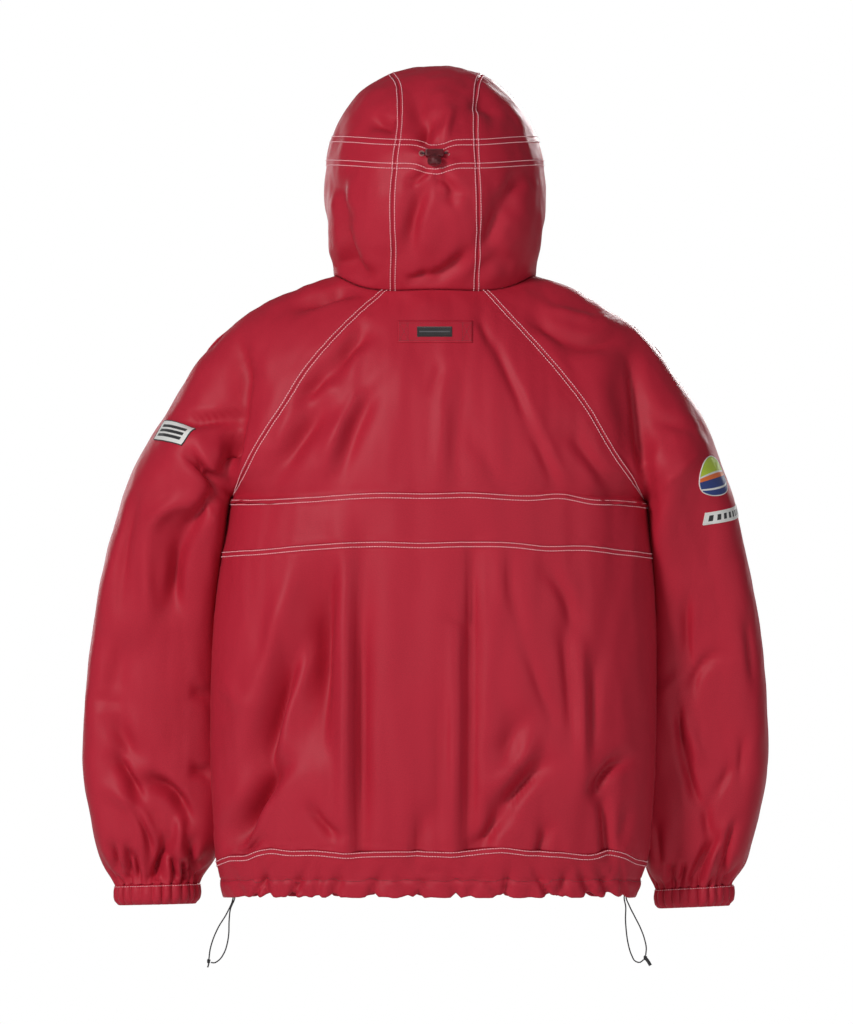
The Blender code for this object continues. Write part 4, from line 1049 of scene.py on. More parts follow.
def graded(count, gather):
    """Shares from 0 to 1 that lie closer together at both ends."""
    t = np.linspace(0.0, 1.0, count)
    return t - gather * np.sin(2 * math.pi * t) / (2 * math.pi)


def faded(points, edges, width):
    """0 at the named edges of a grid and 1 further in."""
    away = reaches(points)
    share = np.ones(points.shape[:2])
    for edge in edges:
        share *= 1 - np.exp(-((away[edge] / width) ** 2))
    return share


def side_calm(normals):
    """Share of a body panel's folds that is left where the cloth turns sideways."""
    return 1 - BODY_CALM * ease(*BODY_SIDEWAYS, np.abs(normals[..., 0]))


def ripple(push, points, sizes, shift=0.0):
    """Add the cloth's soft unevenness to a relief."""
    for share, scale, seed in sizes:
        push += share * settings("cloth").ripple / MM * uneven(points, scale, seed + shift)


def body_relief(facing, felled, puckered, still):
    """Relief of a back or front panel: drape folds, soft unevenness and seams."""
    table = BACK_FOLDS if facing < 0 else FRONT_FOLDS

    def relief(points, normals):
        push = -fold_relief(table, points[..., 0], points[..., 2]) * settings("cloth").fold_strength
        ripple(push, points, BODY_RIPPLES)
        push *= side_calm(normals) * faded(points, still, SEAM_STILL)
        return push + seam_relief(points, felled, puckered)

    return relief


def even_turns(columns):
    """Column values from -1 to 1, closer together towards both ends."""
    t = np.linspace(-1.0, 1.0, columns)
    return t + COLUMN_PULL * np.sin(math.pi * t) / math.pi


def build_body():
    """Back panels, front and hem casing."""
    sides, foot_and_sides = ("left", "right"), ("foot", "left", "right")
    still = ("left", "right", "top")
    q = even_turns(UPPER_GRID[1])
    caps = graded(UPPER_GRID[0], 0.5)
    upper = np.array([yoke_row(-1, t, q) for t in caps])
    for row, t in zip(upper, caps):
        row[:, 2] += SEAM_SHIFT * (t == 1.0) + wander("band_top", row[:, 0]) * ease(0.8, 1.0, t)
    cloth_piece("back_upper", upper, 1, body_relief(-1, (), foot_and_sides, still), flaps=foot_and_sides)
    for node, high, low, (rows, columns), gather in (
        ("back_band", ("band_top", BAND_TOP), ("band_foot", BAND_FOOT), BAND_GRID, 0.7),
        ("back_lower", ("band_foot", BAND_FOOT), ("hem_top", HEM_TOP), LOWER_GRID, 0.75),
    ):
        q = even_turns(columns)
        top, foot = strayed(*high, q) - SEAM_SHIFT, strayed(*low, q) + SEAM_SHIFT
        panel = np.array([body_row(-1, top + (foot - top) * share, q) for share in graded(rows, gather)])
        cloth_piece(node, panel, 1, body_relief(-1, ("top",), ("foot",), sides), flaps=foot_and_sides)
    q = even_turns(FRONT_COLUMNS)
    yoke = [yoke_row(1, t, q) for t in graded(CAP_ROWS, 0.5)]
    top = yoke[-1][:, 2]
    foot = seam_height(HEM_TOP, q) + SEAM_SHIFT
    shares = np.linspace(0, 1, FRONT_ROWS + 1)[1:]
    front = np.array(yoke + [body_row(1, top + (foot - top) * share, q) for share in shares])
    join = front[CAP_ROWS - JOIN_ABOVE - 1: CAP_ROWS + JOIN_BELOW + 1, 1:-1, 1]
    for _ in range(JOIN_ROUNDS):
        join[1:-1] += JOIN_PULL * (join[:-2] + join[2:] - 2 * join[1:-1])
    cloth_piece("front", front, -1, body_relief(1, (), foot_and_sides, still),
                flaps=("foot", ("left", 0, CAP_ROWS), ("right", 0, CAP_ROWS)))
    build_hem()


def gather_table(facing):
    """Gathers of the hem on one side of the body: x, half width, depth and lean of each."""
    if facing < 0:
        places = HEM_GATHERS
    else:
        places = [
            -222.0 + 444.0 * (i + 0.32 * math.sin(1.7 * i + 0.6)) / (FRONT_GATHERS - 1)
            for i in range(FRONT_GATHERS)
        ]
    return [
        (
            x,
            GATHER_WIDTH * (1 + 0.35 * math.sin(2.9 * i + 1.0)),
            GATHER_DEPTH * (0.2 + 1.15 * math.sin(1.9 * i + 0.4) ** 2),
            0.55 * math.sin(2.3 * i + facing),
        )
        for i, x in enumerate(places)
    ]


def hem_gathers(facing, x, z):
    """Troughs that the hem cord draws in, all at one strength, at points of the back or front."""
    push = np.zeros(np.shape(x))
    for middle, width, depth, lean in gather_table(facing):
        push += depth * np.exp(-(((x - middle - lean * (z - HEM_FOOT)) / width) ** 2))
    return push


def build_hem():
    """Hem casing: a ring below the panels, gathered along its tunnel and turned in at its edge."""
    one_side = even_turns(HEM_GRID[1])
    facings = np.concatenate([np.full(len(one_side) - 1, -1), np.full(len(one_side), 1)])
    q = np.concatenate([one_side[:-1], one_side[::-1]])
    q[-1] = -1.0
    high = np.where(facings < 0, strayed("hem_top", HEM_TOP, q), seam_height(HEM_TOP, q)) - SEAM_SHIFT
    rows = []
    for share in graded(HEM_GRID[0], 0.5):
        z = high + (HEM_FOOT - high) * share
        rows.append(np.where((facings < 0)[:, None], body_row(-1, z, q, 0.0), body_row(1, z, q, 0.0)))
    points = np.array(rows)

    def relief(points, normals):
        x, z = points[..., 0], points[..., 2]
        facing = np.broadcast_to(facings, x.shape)
        least, more = GATHER_SHARES
        drawn = least + more * ease(TUNNEL_Z + GATHER_GROWTH[0], TUNNEL_Z + GATHER_GROWTH[1], z)
        troughs = np.where(facing < 0, hem_gathers(-1, x, z), hem_gathers(1, x, z))
        started = ease(HEM_TOP[0] + GATHER_START[0], HEM_TOP[0] + GATHER_START[1], z)
        push = (GATHER_RISE - troughs) * drawn * started
        folds = np.where(facing < 0, fold_relief(BACK_FOLDS, x, z), fold_relief(FRONT_FOLDS, x, z))
        push -= folds * side_calm(normals) * (1 - ease(*HEM_FADE, z))
        push -= TUNNEL_GROOVE[0] * np.exp(-(((z - TUNNEL_Z) / TUNNEL_GROOVE[1]) ** 2))
        push += TUNNEL_SWELL[0] * ease(TUNNEL_Z, TUNNEL_Z - TUNNEL_SWELL[1], z)
        height, scale, seed = HEM_RIPPLE
        push += height * uneven(points, scale, seed) * drawn
        return push + seam_relief(points, ("top",), ())

    edge = points[-1, :, 0]
    troughs = np.where(facings < 0, hem_gathers(-1, edge, HEM_FOOT), hem_gathers(1, edge, HEM_FOOT))
    lift = GATHER_LIFT * (np.clip(troughs / GATHER_DEPTH, 0, 1.3) - 0.3)
    points[..., 2] += lift * ease(TUNNEL_Z, HEM_FOOT, points[..., 2])
    cloth_piece("hem_casing", points, 1, relief, ring_from=0, hem=HEM_TURN)


def pleat_wave(turns, seed):
    """Pleats round a cuff: broad ridges with narrow valleys, uneven from one to the next."""
    phase = math.pi * CUFF_PLEATS * turns
    phase += 0.5 * np.sin(7 * math.pi * turns + seed) + 0.35 * np.sin(3 * math.pi * turns)
    size = 0.8 + 0.3 * np.sin(5 * math.pi * turns + 2 * seed)
    return size * (2 * np.abs(np.cos(phase / 2)) ** 0.7 - 1)


def cuff_gathers(side, turns, height):
    """Folds of the sleeve that run up from the cuff, each with its own place and length."""
    push = np.zeros(np.broadcast_shapes(np.shape(turns), np.shape(height)))
    least, mean, more = CUFF_GATHER_LENGTHS
    for i in range(CUFF_GATHERS):
        middle = -1 + 2 * (i + 0.35 * math.sin(2.1 * i + side)) / CUFF_GATHERS
        width = CUFF_GATHER_WIDTH * (1 + 0.3 * math.sin(3.3 * i + side)) * (1 + height / CUFF_GATHER_SPREAD)
        length = max(least, mean + more * math.sin(1.7 * i + 2 * side))
        depth = CUFF_GATHER_DEPTH * (1 + 0.4 * math.sin(2.7 * i))
        lean = CUFF_GATHER_LEAN * math.sin(4.1 * i + side) * height
        near = np.exp(-(((turns - middle - lean) / width) ** 2))
        push += depth * near * np.exp(-((height / length) ** 2)) * ease(*CUFF_GATHERS_FROM, height)
    return push


def build_sleeve(side, word):
    """A one-piece raglan sleeve and its elasticated cuff."""
    turns = np.linspace(-1, 1, SLEEVE_COLUMNS)
    caps = graded(CAP_ROWS, 0.4)
    shares = np.linspace(0, 1, ARM_ROWS + 1)[1:]
    arms = 1.0 + (CUFF_ROW - 1.0) * (1 - (1 - shares) ** ARM_ROW_PULL)
    rows = []
    for row in caps:
        line = sleeve_row(side, row, turns)
        push = SEAM_SHIFT + UNDERARM_PUSH * ease(0.9, 1.0, row)
        back_way = raglan_mitre(side, row, False)
        front_way = raglan_mitre(side, row, True) if row < 1.0 else back_way
        way = np.where((turns < 0)[:, None], back_way, front_way)
        line = line + way * (push * np.abs(turns) ** SEAM_SHARPNESS)[:, None]
        if row == 0:
            wrap = np.where(turns < 0, 90.0 - RAGLAN_BACK_ANGLE, RAGLAN_FRONT_ANGLE - 90.0)
            line -= neck_mitre(side * (90.0 + turns * wrap)) * NECK_SHIFT
        rows.append(line)
    for row in arms:
        push = (SEAM_SHIFT + UNDERARM_PUSH) * (1 - ease(1.0, 1.6, row)) * np.abs(turns) ** SEAM_SHARPNESS
        rows.append(sleeve_row(side, row, turns) + raglan_mitre(side, 1.0, False) * push[:, None])
    points = np.array(rows)
    crease = crease_line(side)
    cloth = settings("cloth")

    def relief(points, normals):
        x, z = points[..., 0], points[..., 2]
        behind = ease(*SLEEVE_FACING, -normals[..., 1])
        ahead = ease(*SLEEVE_FACING, normals[..., 1])
        inner = 1 - SLEEVE_CALM * ease(*SLEEVE_SIDEWAYS, -normals[..., 0] * side)
        push = -fold_relief(SLEEVE_FOLDS[side], x, z) * behind * cloth.fold_strength * ARM_SHARE[side]
        folds = fold_relief(SLEEVE_FOLDS[-side], -x, z + FRONT_FOLD_DROP)
        push -= folds * ahead * cloth.fold_strength * ARM_FRONT_SHARE
        push -= crease(x, z) * behind
        ripple(push, points, SLEEVE_RIPPLES, side)
        edges = reaches(points)
        height = edges["foot"]
        grid_turns = np.broadcast_to(turns, x.shape)
        push = push * inner * ease(*SLEEVE_FOLDS_FROM, height)
        push -= cuff_gathers(side, grid_turns, height)
        push += PLEAT_DEPTH * pleat_wave(grid_turns, side) * np.exp(-((height / PLEAT_REACH) ** 2))
        in_cap = np.zeros(x.shape)
        in_cap[: len(caps)] = 1.0
        pucker = uneven(points, PUCKER_GRAIN, PUCKER_SEED) * cloth.pucker / MM
        still = faded(points, ("left", "right", "top"), SEAM_STILL)
        push *= 1 - in_cap * (1 - still)
        for edge in ("left", "right"):
            push += in_cap * pucker * np.exp(-edges[edge] / PUCKER_REACH)
        return push

    node = "sleeve_" + word
    cloth_piece(node, points, side, relief, ring_from=len(caps) - 1)
    build_cuff(side, word)


def crease_line(side):
    """Relief of the sharp crease between cap and hanging sleeve."""
    route, depths = np.split(np.array(CAP_CREASES[side], float), [2], axis=1)

    def relief(x, z):
        at = stack(x, z)
        nearest = np.full(x.shape, 1e9)
        signed = np.zeros(x.shape)
        depth = np.zeros(x.shape)
        for i in range(len(route) - 1):
            start, run = route[i], route[i + 1] - route[i]
            u = np.clip(((at - start) @ run) / (run @ run), 0.0, 1.0)
            gap = at - (start + u[..., None] * run)
            distance = np.linalg.norm(gap, axis=-1)
            closer = distance < nearest
            nearest = np.where(closer, distance, nearest)
            signed = np.where(closer, gap[..., 0] * side, signed)
            depth = np.where(closer, depths[i] + (depths[i + 1] - depths[i]) * u, depth)
        width = np.where(signed > 0, CREASE_OUTER, CREASE_INNER)
        return depth * np.exp(-((nearest / width) ** 2))

    return relief


def build_cuff(side, word):
    """Elasticated cuff: a pleated ring turned in at its edge."""
    turns = np.linspace(-1, 1, CUFF_GRID[1])
    top = sleeve_row(side, CUFF_ROW, turns)
    centre = top[:-1].mean(axis=0)
    rows = []
    for share in np.linspace(0, 1, CUFF_GRID[0]):
        draw = (centre - top) * CUFF_DRAW * share
        draw[:, 2] = (centre[2] - top[:, 2]) * CUFF_LEVEL * share
        drop = np.array([0.0, 0.0, -CUFF_SEAM - CUFF_DEPTH * share])
        rows.append(top + drop + draw)
    points = np.array(rows)

    def relief(points, normals):
        grid_turns = np.broadcast_to(turns, points.shape[:2])
        drop = reaches(points)["top"]
        flatter = 1 - CUFF_FLATTENED * ease(*CUFF_FLATTENING, drop)
        push = PLEAT_DEPTH * pleat_wave(grid_turns, side) * flatter
        push += CUFF_BULGE * np.sin(math.pi * np.clip(drop / CUFF_DEPTH, 0, 1)) ** 0.7
        push -= CUFF_ROUNDING * ease(CUFF_DEPTH - CUFF_ROUND_DEPTH, CUFF_DEPTH, drop) ** 2
        height, scale, seed = CUFF_RIPPLE
        return push + height * uneven(points, scale, seed * side)

    cloth_piece("cuff_" + word, points, side, relief, ring_from=0, hem=CUFF_TURN, flaps=("top",))


def channel_tuck(x):
    """How far the hood's channel dips where the cord lock draws it in."""
    return CHANNEL_TUCK * np.exp(-((np.abs(x - TOGGLE_MIDDLE[0]) / CHANNEL_TUCK_WIDTH) ** 2.4))


def channel_rise(x):
    """How far the hood's channel climbs towards the face."""
    return CHANNEL_RISE * ease(40.0, 130.0, np.abs(x))


def hood_relief(edges):
    """Relief of a hood panel: folds, gathers round the cord lock, the channel and seams."""

    def relief(points, normals):
        x, z = points[..., 0], points[..., 2]
        behind = ease(*HOOD_FACING, -normals[..., 1])
        push = -fold_relief(HOOD_FOLDS, x, z) * behind * settings("cloth").fold_strength * HOOD_SHARE
        ripple(push, points, HOOD_RIPPLES)
        across = x - TOGGLE_MIDDLE[0]
        up = z - TOGGLE_MIDDLE[1] + channel_tuck(x)
        away = np.hypot(across, up)
        rays = np.cos(9 * np.arctan2(across, up) + 0.8) + 0.5 * np.cos(14 * np.arctan2(across, up))
        ring = np.exp(-(((away - LOCK_RING[0]) / LOCK_RING[1]) ** 2))
        push += behind * LOCK_GATHER * rays * ring * ease(*LOCK_EDGE, away)
        level = z + channel_tuck(x) - channel_rise(x)
        on_tape = ease(*TAPE_FOOT, level) * (1 - ease(*TAPE_TOP, level))
        depth, width = TAPE_GROOVE
        edges_near = sum(np.exp(-(((level - CHANNEL_ROWS[row]) / width) ** 2)) for row in (3, 0))
        push += TAPE_RISE * on_tape - depth * edges_near
        push *= faded(points, ("top",), SEAM_STILL)
        return push + seam_relief(points, (), edges)

    return relief


def build_hood():
    """Three hood panels from the neck seam over the crown to the hemmed face edge."""
    part = math.degrees(SEAM_SHIFT / NECK_HALF_WIDTH)
    middle, side = HOOD_COLUMNS["centre"], HOOD_COLUMNS["side"]
    spans = {
        "hood_centre": (lambda s: -hood_seam(s, -1) + part, lambda s: hood_seam(s, 1) - part, middle),
        "hood_side_left": (lambda s: -hood_last(s), lambda s: -hood_seam(s, -1) - part, side),
        "hood_side_right": (lambda s: hood_seam(s, 1) + part, hood_last, side),
    }
    for node, (first, last, columns) in spans.items():
        rows = [
            hood_row(s, np.linspace(first(s), last(s), columns)) for s in np.linspace(0, 1, HOOD_ROWS)
        ]
        flaps = ("top", "left", "right") if node == "hood_centre" else ("top",)
        cloth_piece(node, np.array(rows), -1, hood_relief(("left", "right")), hem=FACE_TURN, flaps=flaps)


def added(tree, kind, output, inputs=(), **looks):
    """An output of a new node, whose inputs are linked or set."""
    made = tree.nodes.new(kind)
    for name, value in looks.items():
        setattr(made, name, value)
    for key, value in dict(inputs).items():
        if isinstance(value, bpy.types.NodeSocket):
            tree.links.new(value, made.inputs[key])
        else:
            made.inputs[key].default_value = value
    return made.outputs[output]


def finish(name, colour, roughness, metallic=0.0, sheen=0.0):
    """A material, with its node tree and main shader when it is new."""
    made = bpy.data.materials.get(name)
    if made is not None:
        return made, None, None
    made = bpy.data.materials.new(name)
    made.use_nodes = True
    shader = made.node_tree.nodes["Principled BSDF"]
    shader.inputs["Base Color"].default_value = (*colour, 1.0)
    shader.inputs["Roughness"].default_value = roughness
    shader.inputs["Metallic"].default_value = metallic
    shader.inputs["Sheen Weight"].default_value = sheen
    return made, made.node_tree, shader


def mixed(tree, share, first, second):
    """A mix of two colours; the share is an output socket."""
    first, second = (
        part if isinstance(part, bpy.types.NodeSocket) else (*part, 1.0) for part in (first, second)
    )
    return added(tree, "ShaderNodeMix", 2, {"Factor": share, 6: first, 7: second}, data_type="RGBA")


def ramped(tree, value, low, high):
    """A value brought from the range low to high into 0 to 1."""
    inputs = {"From Min": low, "From Max": high, "Value": value}
    return added(tree, "ShaderNodeMapRange", "Result", inputs)


def noisy(tree, coordinates, scale, detail=2.0):
    """A noise texture's factor."""
    inputs = {"Scale": scale, "Detail": detail, "Vector": coordinates}
    return added(tree, "ShaderNodeTexNoise", "Fac", inputs)


def banded(tree, coordinates, pitch, direction):
    """Bands of a given pitch in metres."""
    inputs = {"Scale": 2 * math.pi / (20 * pitch), "Distortion": 0.0, "Vector": coordinates}
    return added(tree, "ShaderNodeTexWave", "Fac", inputs, bands_direction=direction)


def reckoned(tree, operation, *values):
    """The result of a node that works on numbers."""
    return added(tree, "ShaderNodeMath", 0, enumerate(values), operation=operation)


def bumped(tree, shader, height, strength, distance):
    """Bump from a height."""
    inputs = {"Strength": strength, "Distance": distance, "Height": height}
    tree.links.new(added(tree, "ShaderNodeBump", "Normal", inputs), shader.inputs["Normal"])


def shaded(value, times):
    """A colour made lighter or darker."""
    return tuple(min(part * times, 1.0) for part in value)


def cloth_finish():
    """Tightly woven nylon with a soft lustre, on the flat cut's UV map."""
    cloth = settings("cloth")
    made, tree, shader = finish("woven_nylon", tuple(cloth.colour), 0.5, sheen=0.03)
    if tree is None:
        return made
    shader.inputs["Sheen Roughness"].default_value = 0.4
    shader.inputs["Sheen Tint"].default_value = (1.0, 0.5, 0.55, 1.0)
    shader.inputs["Specular IOR Level"].default_value = 0.2
    place = tree.nodes.new("ShaderNodeTexCoord").outputs
    broad = ramped(tree, noisy(tree, place["Object"], 9.0), 0.3, 0.7)
    colour = mixed(tree, broad, shaded(cloth.colour, 0.93), shaded(cloth.colour, 1.05))
    slub = ramped(tree, noisy(tree, place["UV"], 700.0, 3.0), 0.35, 0.65)
    colour = mixed(tree, slub, colour, shaded(cloth.colour, 1.12))
    tree.links.new(colour, shader.inputs["Base Color"])
    threads = (banded(tree, place["UV"], cloth.weave_pitch, way) for way in "XY")
    bumped(tree, shader, reckoned(tree, "ADD", *threads), 0.18, 0.00012)
    return made


def grained(name, colour, roughness, grain, span, shades, bump=None, coat=0.0, **looks):
    """A finish in two shades of its colour. The grain is the scale and detail of the noise that mixes
    them, the span is its range in use, and the bump is the scale, strength and depth of another."""
    made, tree, shader = finish(name, tuple(colour), roughness, **looks)
    if tree is not None:
        shader.inputs["Coat Weight"].default_value = coat
        place = tree.nodes.new("ShaderNodeTexCoord").outputs["Object"]
        wear = ramped(tree, noisy(tree, place, *grain), *span)
        shown = mixed(tree, wear, *(shaded(colour, times) for times in shades))
        tree.links.new(shown, shader.inputs["Base Color"])
        if bump is not None:
            scale, *rest = bump
            bumped(tree, shader, noisy(tree, place, scale), *rest)
    return made


def thread_finish(name, colour):
    """Twisted polyester thread."""
    return grained(
        name, colour, 0.5, (900.0, 2.0), (0.3, 0.7), (0.88, 1.08), (2500.0, 0.3, 0.0001), sheen=0.2
    )


def cord_finish():
    """Braided black elastic cord."""
    colour = tuple(settings("trim").cord_colour)
    made, tree, shader = finish("braided_cord", colour, 0.6, sheen=0.15)
    if tree is not None:
        place = tree.nodes.new("ShaderNodeTexCoord").outputs
        braid = banded(tree, place["Object"], 0.0009, "DIAGONAL")
        shown = mixed(tree, braid, shaded(colour, 0.7), shaded(colour, 1.7))
        tree.links.new(shown, shader.inputs["Base Color"])
        bumped(tree, shader, braid, 0.5, 0.0002)
    return made


def plastic_finish():
    """Moulded dark red plastic of the cord lock."""
    colour = settings("trim").lock_colour
    bump = (1400.0, 0.12, 0.0001)
    return grained("moulded_lock", colour, 0.28, (260.0, 4.0), (0.35, 0.7), (0.8, 1.5), bump, coat=0.25)


def metal_finish():
    """Rose enamelled metal of the eyelets."""
    colour = settings("trim").eyelet_colour
    return grained("rose_metal", colour, 0.3, (500.0, 4.0), (0.4, 0.7), (0.85, 1.1), metallic=0.8)


def thread_tree():
    """Geometry Nodes that lay stitches along every line of a mesh."""
    tree = bpy.data.node_groups.get("stitch_run")
    if tree is not None:
        return tree
    tree = bpy.data.node_groups.new("stitch_run", "GeometryNodeTree")
    kinds = {"Geometry": "Geometry", "Pitch": "Float", "Stitch": "Vector", "Thread": "Material"}
    for name, kind in kinds.items():
        tree.interface.new_socket(name, in_out="INPUT", socket_type="NodeSocket" + kind)
    tree.interface.new_socket("Geometry", in_out="OUTPUT", socket_type="NodeSocketGeometry")
    given = tree.nodes.new("NodeGroupInput").outputs
    curve = added(tree, "GeometryNodeMeshToCurve", "Curve", {"Mesh": given["Geometry"]})
    steps = {"Curve": curve, "Length": given["Pitch"]}
    spots = added(tree, "GeometryNodeCurveToPoints", "Points", steps, mode="LENGTH")
    bead = added(tree, "GeometryNodeMeshUVSphere", "Mesh", {"Segments": 5, "Rings": 4, "Radius": 1.0})
    stitch = added(tree, "GeometryNodeTransform", "Geometry", {"Geometry": bead, "Scale": given["Stitch"]})
    turned = {"Points": spots, "Rotation": spots.node.outputs["Rotation"], "Instance": stitch}
    shape = added(tree, "GeometryNodeInstanceOnPoints", "Instances", turned)
    for kind in ("RealizeInstances", "SetShadeSmooth"):
        shape = added(tree, "GeometryNode" + kind, "Geometry", {"Geometry": shape})
    paint = {"Geometry": shape, "Material": given["Thread"]}
    shape = added(tree, "GeometryNodeSetMaterial", "Geometry", paint)
    tree.links.new(shape, tree.nodes.new("NodeGroupOutput").inputs["Geometry"])
    return tree


def sew(name, lines, finish_used, stitch=None, pitch=None, thread=None):
    """One piece of sewing: stitches along lines of points, made real."""
    sewing = settings("sewing")
    stitch = sewing.stitch if stitch is None else stitch
    pitch = sewing.pitch if pitch is None else pitch
    thread = sewing.thread if thread is None else thread
    points, edges = [], []
    for line in lines:
        first = len(points)
        points.extend(tuple(p * MM) for p in line)
        edges.extend((i, i + 1) for i in range(first, len(points) - 1))
    mesh = bpy.data.meshes.new(name)
    mesh.from_pydata(points, edges, [])
    guide = placed(name + "_guide", mesh)
    run = guide.modifiers.new("stitches", "NODES")
    run.node_group = thread_tree()
    values = {"Pitch": pitch, "Stitch": (thread / 2, thread / 2, stitch / 2), "Thread": finish_used}
    for item in run.node_group.interface.items_tree:
        if item.in_out == "INPUT" and item.name in values:
            run[item.identifier] = values[item.name]
    made = made_real(guide, name)
    bpy.data.meshes.remove(mesh)
    put(name, made, None, "shell_cloth")


def lift():
    """Height of a stitch row's middle over a cloth piece's middle surface."""
    return (settings("cloth").wall / 2 + settings("sewing").thread * THREAD_LIFT) / MM


def inset(node, edge, distance, share=1.0):
    """Line on a cloth piece at a distance from one of its edges, over the first share of that edge."""
    points, normals = GRIDS[node]
    if edge in ("left", "right"):
        points, normals = points.transpose(1, 0, 2), normals.transpose(1, 0, 2)
    if edge in ("foot", "right"):
        points, normals = points[::-1], normals[::-1]
    line = []
    for j in range(int(share * (points.shape[1] - 1)) + 1):
        steps = np.linalg.norm(np.diff(points[:, j], axis=0), axis=1)
        run = np.concatenate([[0.0], np.cumsum(steps)])
        spot = [np.interp(distance, run, points[:, j, k]) for k in range(3)]
        out = [np.interp(distance, run, normals[:, j, k]) for k in range(3)]
        line.append(np.array(spot) + np.array(out) * lift())
    return line


def build_stitching():
    """All topstitching of the seams."""
    sewing = settings("sewing")
    pink = thread_finish("topstitch_thread", sewing.colour)
    beside = sewing.beside / MM
    seams = {
        "band": [(node, "top", d) for node in ("back_band", "back_lower") for d in TWIN_ROWS],
        "hem": [("hem_casing", "top", d) for d in TWIN_ROWS],
        "raglan": [],
        "hood_seams": [
            ("hood_centre", "left", beside), ("hood_centre", "right", beside),
            ("hood_side_left", "right", beside), ("hood_side_right", "left", beside),
        ],
    }
    for _, word in SIDES:
        seams["raglan"] += [
            ("back_upper", word, beside),
            ("front", word, beside, (CAP_ROWS - 1) / (CAP_ROWS + FRONT_ROWS - 1)),
            *(("sleeve_" + word, edge, beside, (CAP_ROWS - 1) / (CAP_ROWS + ARM_ROWS - 1))
              for edge in ("left", "right")),
        ]
    for name, rows in seams.items():
        sew("stitching_" + name, [inset(*row) for row in rows], pink)
    hood = search_tree(*(GRIDS[node][0] for node in HOOD_PIECES))
    sew("stitching_channel", [channel_line(hood, height) for height in CHANNEL_ROWS], pink)
    cuffs = [inset("cuff_" + word, "top", CUFF_STITCH) for _, word in SIDES]
    sew("stitching_cuffs", cuffs, pink, thread=CUFF_THREAD)
    tunnel = [inset("hem_casing", "foot", TUNNEL_Z - HEM_FOOT)]
    sew("stitching_tunnel", tunnel, thread_finish("tonal_thread", sewing.tonal), thread=TUNNEL_THREAD)
    sew("stitching_face_edge", [inset(node, "foot", FACE_STITCH) for node in HOOD_PIECES], pink)


def channel_line(hood, height):
    """A stitch row round the hood at one height, dipping at the cord lock."""
    line = []
    for azimuth in np.radians(np.arange(-CHANNEL_REACH, CHANNEL_REACH + 0.1)):
        way = np.array([math.sin(azimuth), -math.cos(azimuth), 0.0])
        x = NECK_HALF_WIDTH * math.sin(azimuth)
        z = height - channel_tuck(x) + channel_rise(x)
        hit, out = hood.ray_cast(Vector((0.0, 0.0, float(z))) + Vector(way) * START_ROUND, Vector(-way))[:2]
        if hit is not None:
            out = np.array(out) * np.sign(np.array(out) @ way)
            line.append(np.array(hit) + out * lift())
    return line


def landed(tree, point, out):
    """Where a point, moved in along a direction, meets the cloth."""
    hit = tree.ray_cast(Vector(point + out * START_ABOVE), Vector(-out))[0]
    return np.array(hit)


def sewn_grid(tree, centre, across, up, size, cells, lift_mm, roundness=0.0):
    """Points of a small flat piece that follows the cloth below it."""
    out = np.cross(across, up)
    rows = []
    for v in np.linspace(1, -1, cells[1] + 1):
        line = []
        for u in np.linspace(-1, 1, cells[0] + 1):
            right = u * math.sqrt(1 - roundness * v * v / 2) * size[0] / 2
            high = v * math.sqrt(1 - roundness * u * u / 2) * size[1] / 2
            line.append(landed(tree, centre + across * right + up * high, out) + out * lift_mm)
        rows.append(line)
    return np.array(rows)


def flat_piece(node, name, points, material, slot, wall):
    """A sewn-on piece in place of its node, with a UV map from 0 to 1 over its face."""
    rows, columns = points.shape[:2]
    mesh = cloth_mesh(name, points, 1)
    layer = mesh.uv_layers.new(name="face")
    for loop in mesh.loops:
        i, j = divmod(loop.vertex_index, columns)
        layer.data[loop.index].uv = (j / (columns - 1), 1 - i / (rows - 1))
    layer.active_render = True
    mesh.uv_layers.active = layer
    thing = put(name, mesh, material, slot, node)
    size, area = walled(thing, wall, points)


def sleeve_frame(side, row, turn, up_hint):
    """Middle, crosswise and upward direction of a patch on a sleeve."""
    centre = sleeve_row(side, row, [turn])[0]
    low, high = row + PATCH_ROW_STEP, row - PATCH_ROW_STEP
    along = sleeve_row(side, low, [turn])[0] - sleeve_row(side, high, [turn])[0]
    behind, before = turn - PATCH_TURN_STEP, turn + PATCH_TURN_STEP
    around = sleeve_row(side, row, [before])[0] - sleeve_row(side, row, [behind])[0]
    out = np.cross(along, around)
    core = np.array([side * SLEEVE_CORE[0], 0.0, centre[2] - SLEEVE_CORE[1]])
    out = unit(out * np.sign(out @ (centre - core)))
    up = np.array([up_hint[0], 0.0, up_hint[1]])
    up = unit(up - out * (up @ out))
    return centre, np.cross(up, out), up


def embroidery(name, ground, bars, pitch):
    """Embroidered patch: its ground, its bars as u from, u to, v from, v to and colour, and its pitch."""
    made, tree, shader = finish(name, ground, 0.62, sheen=0.25)
    if tree is None:
        return made
    face = added(tree, "ShaderNodeUVMap", "UV", uv_map="face")
    split = added(tree, "ShaderNodeSeparateXYZ", "X", {"Vector": face}).node.outputs
    colour = ground
    for u0, u1, v0, v1, paint in bars:
        inside = (
            reckoned(tree, "COMPARE", split[axis], (low + high) / 2, (high - low) / 2)
            for axis, low, high in (("X", u0, u1), ("Y", v0, v1))
        )
        colour = mixed(tree, reckoned(tree, "MULTIPLY", *inside), colour, paint)
    tree.links.new(colour, shader.inputs["Base Color"])
    bumped(tree, shader, banded(tree, face, pitch, "DIAGONAL"), 0.6, 0.0003)
    return made


PATCH_WHITE = (0.8, 0.79, 0.76)
PATCH_BLACK = (0.012, 0.012, 0.014)
PATCH_LIME = (0.52, 0.68, 0.03)
PATCH_ORANGE = (0.85, 0.16, 0.02)
PATCH_NAVY = (0.01, 0.035, 0.2)

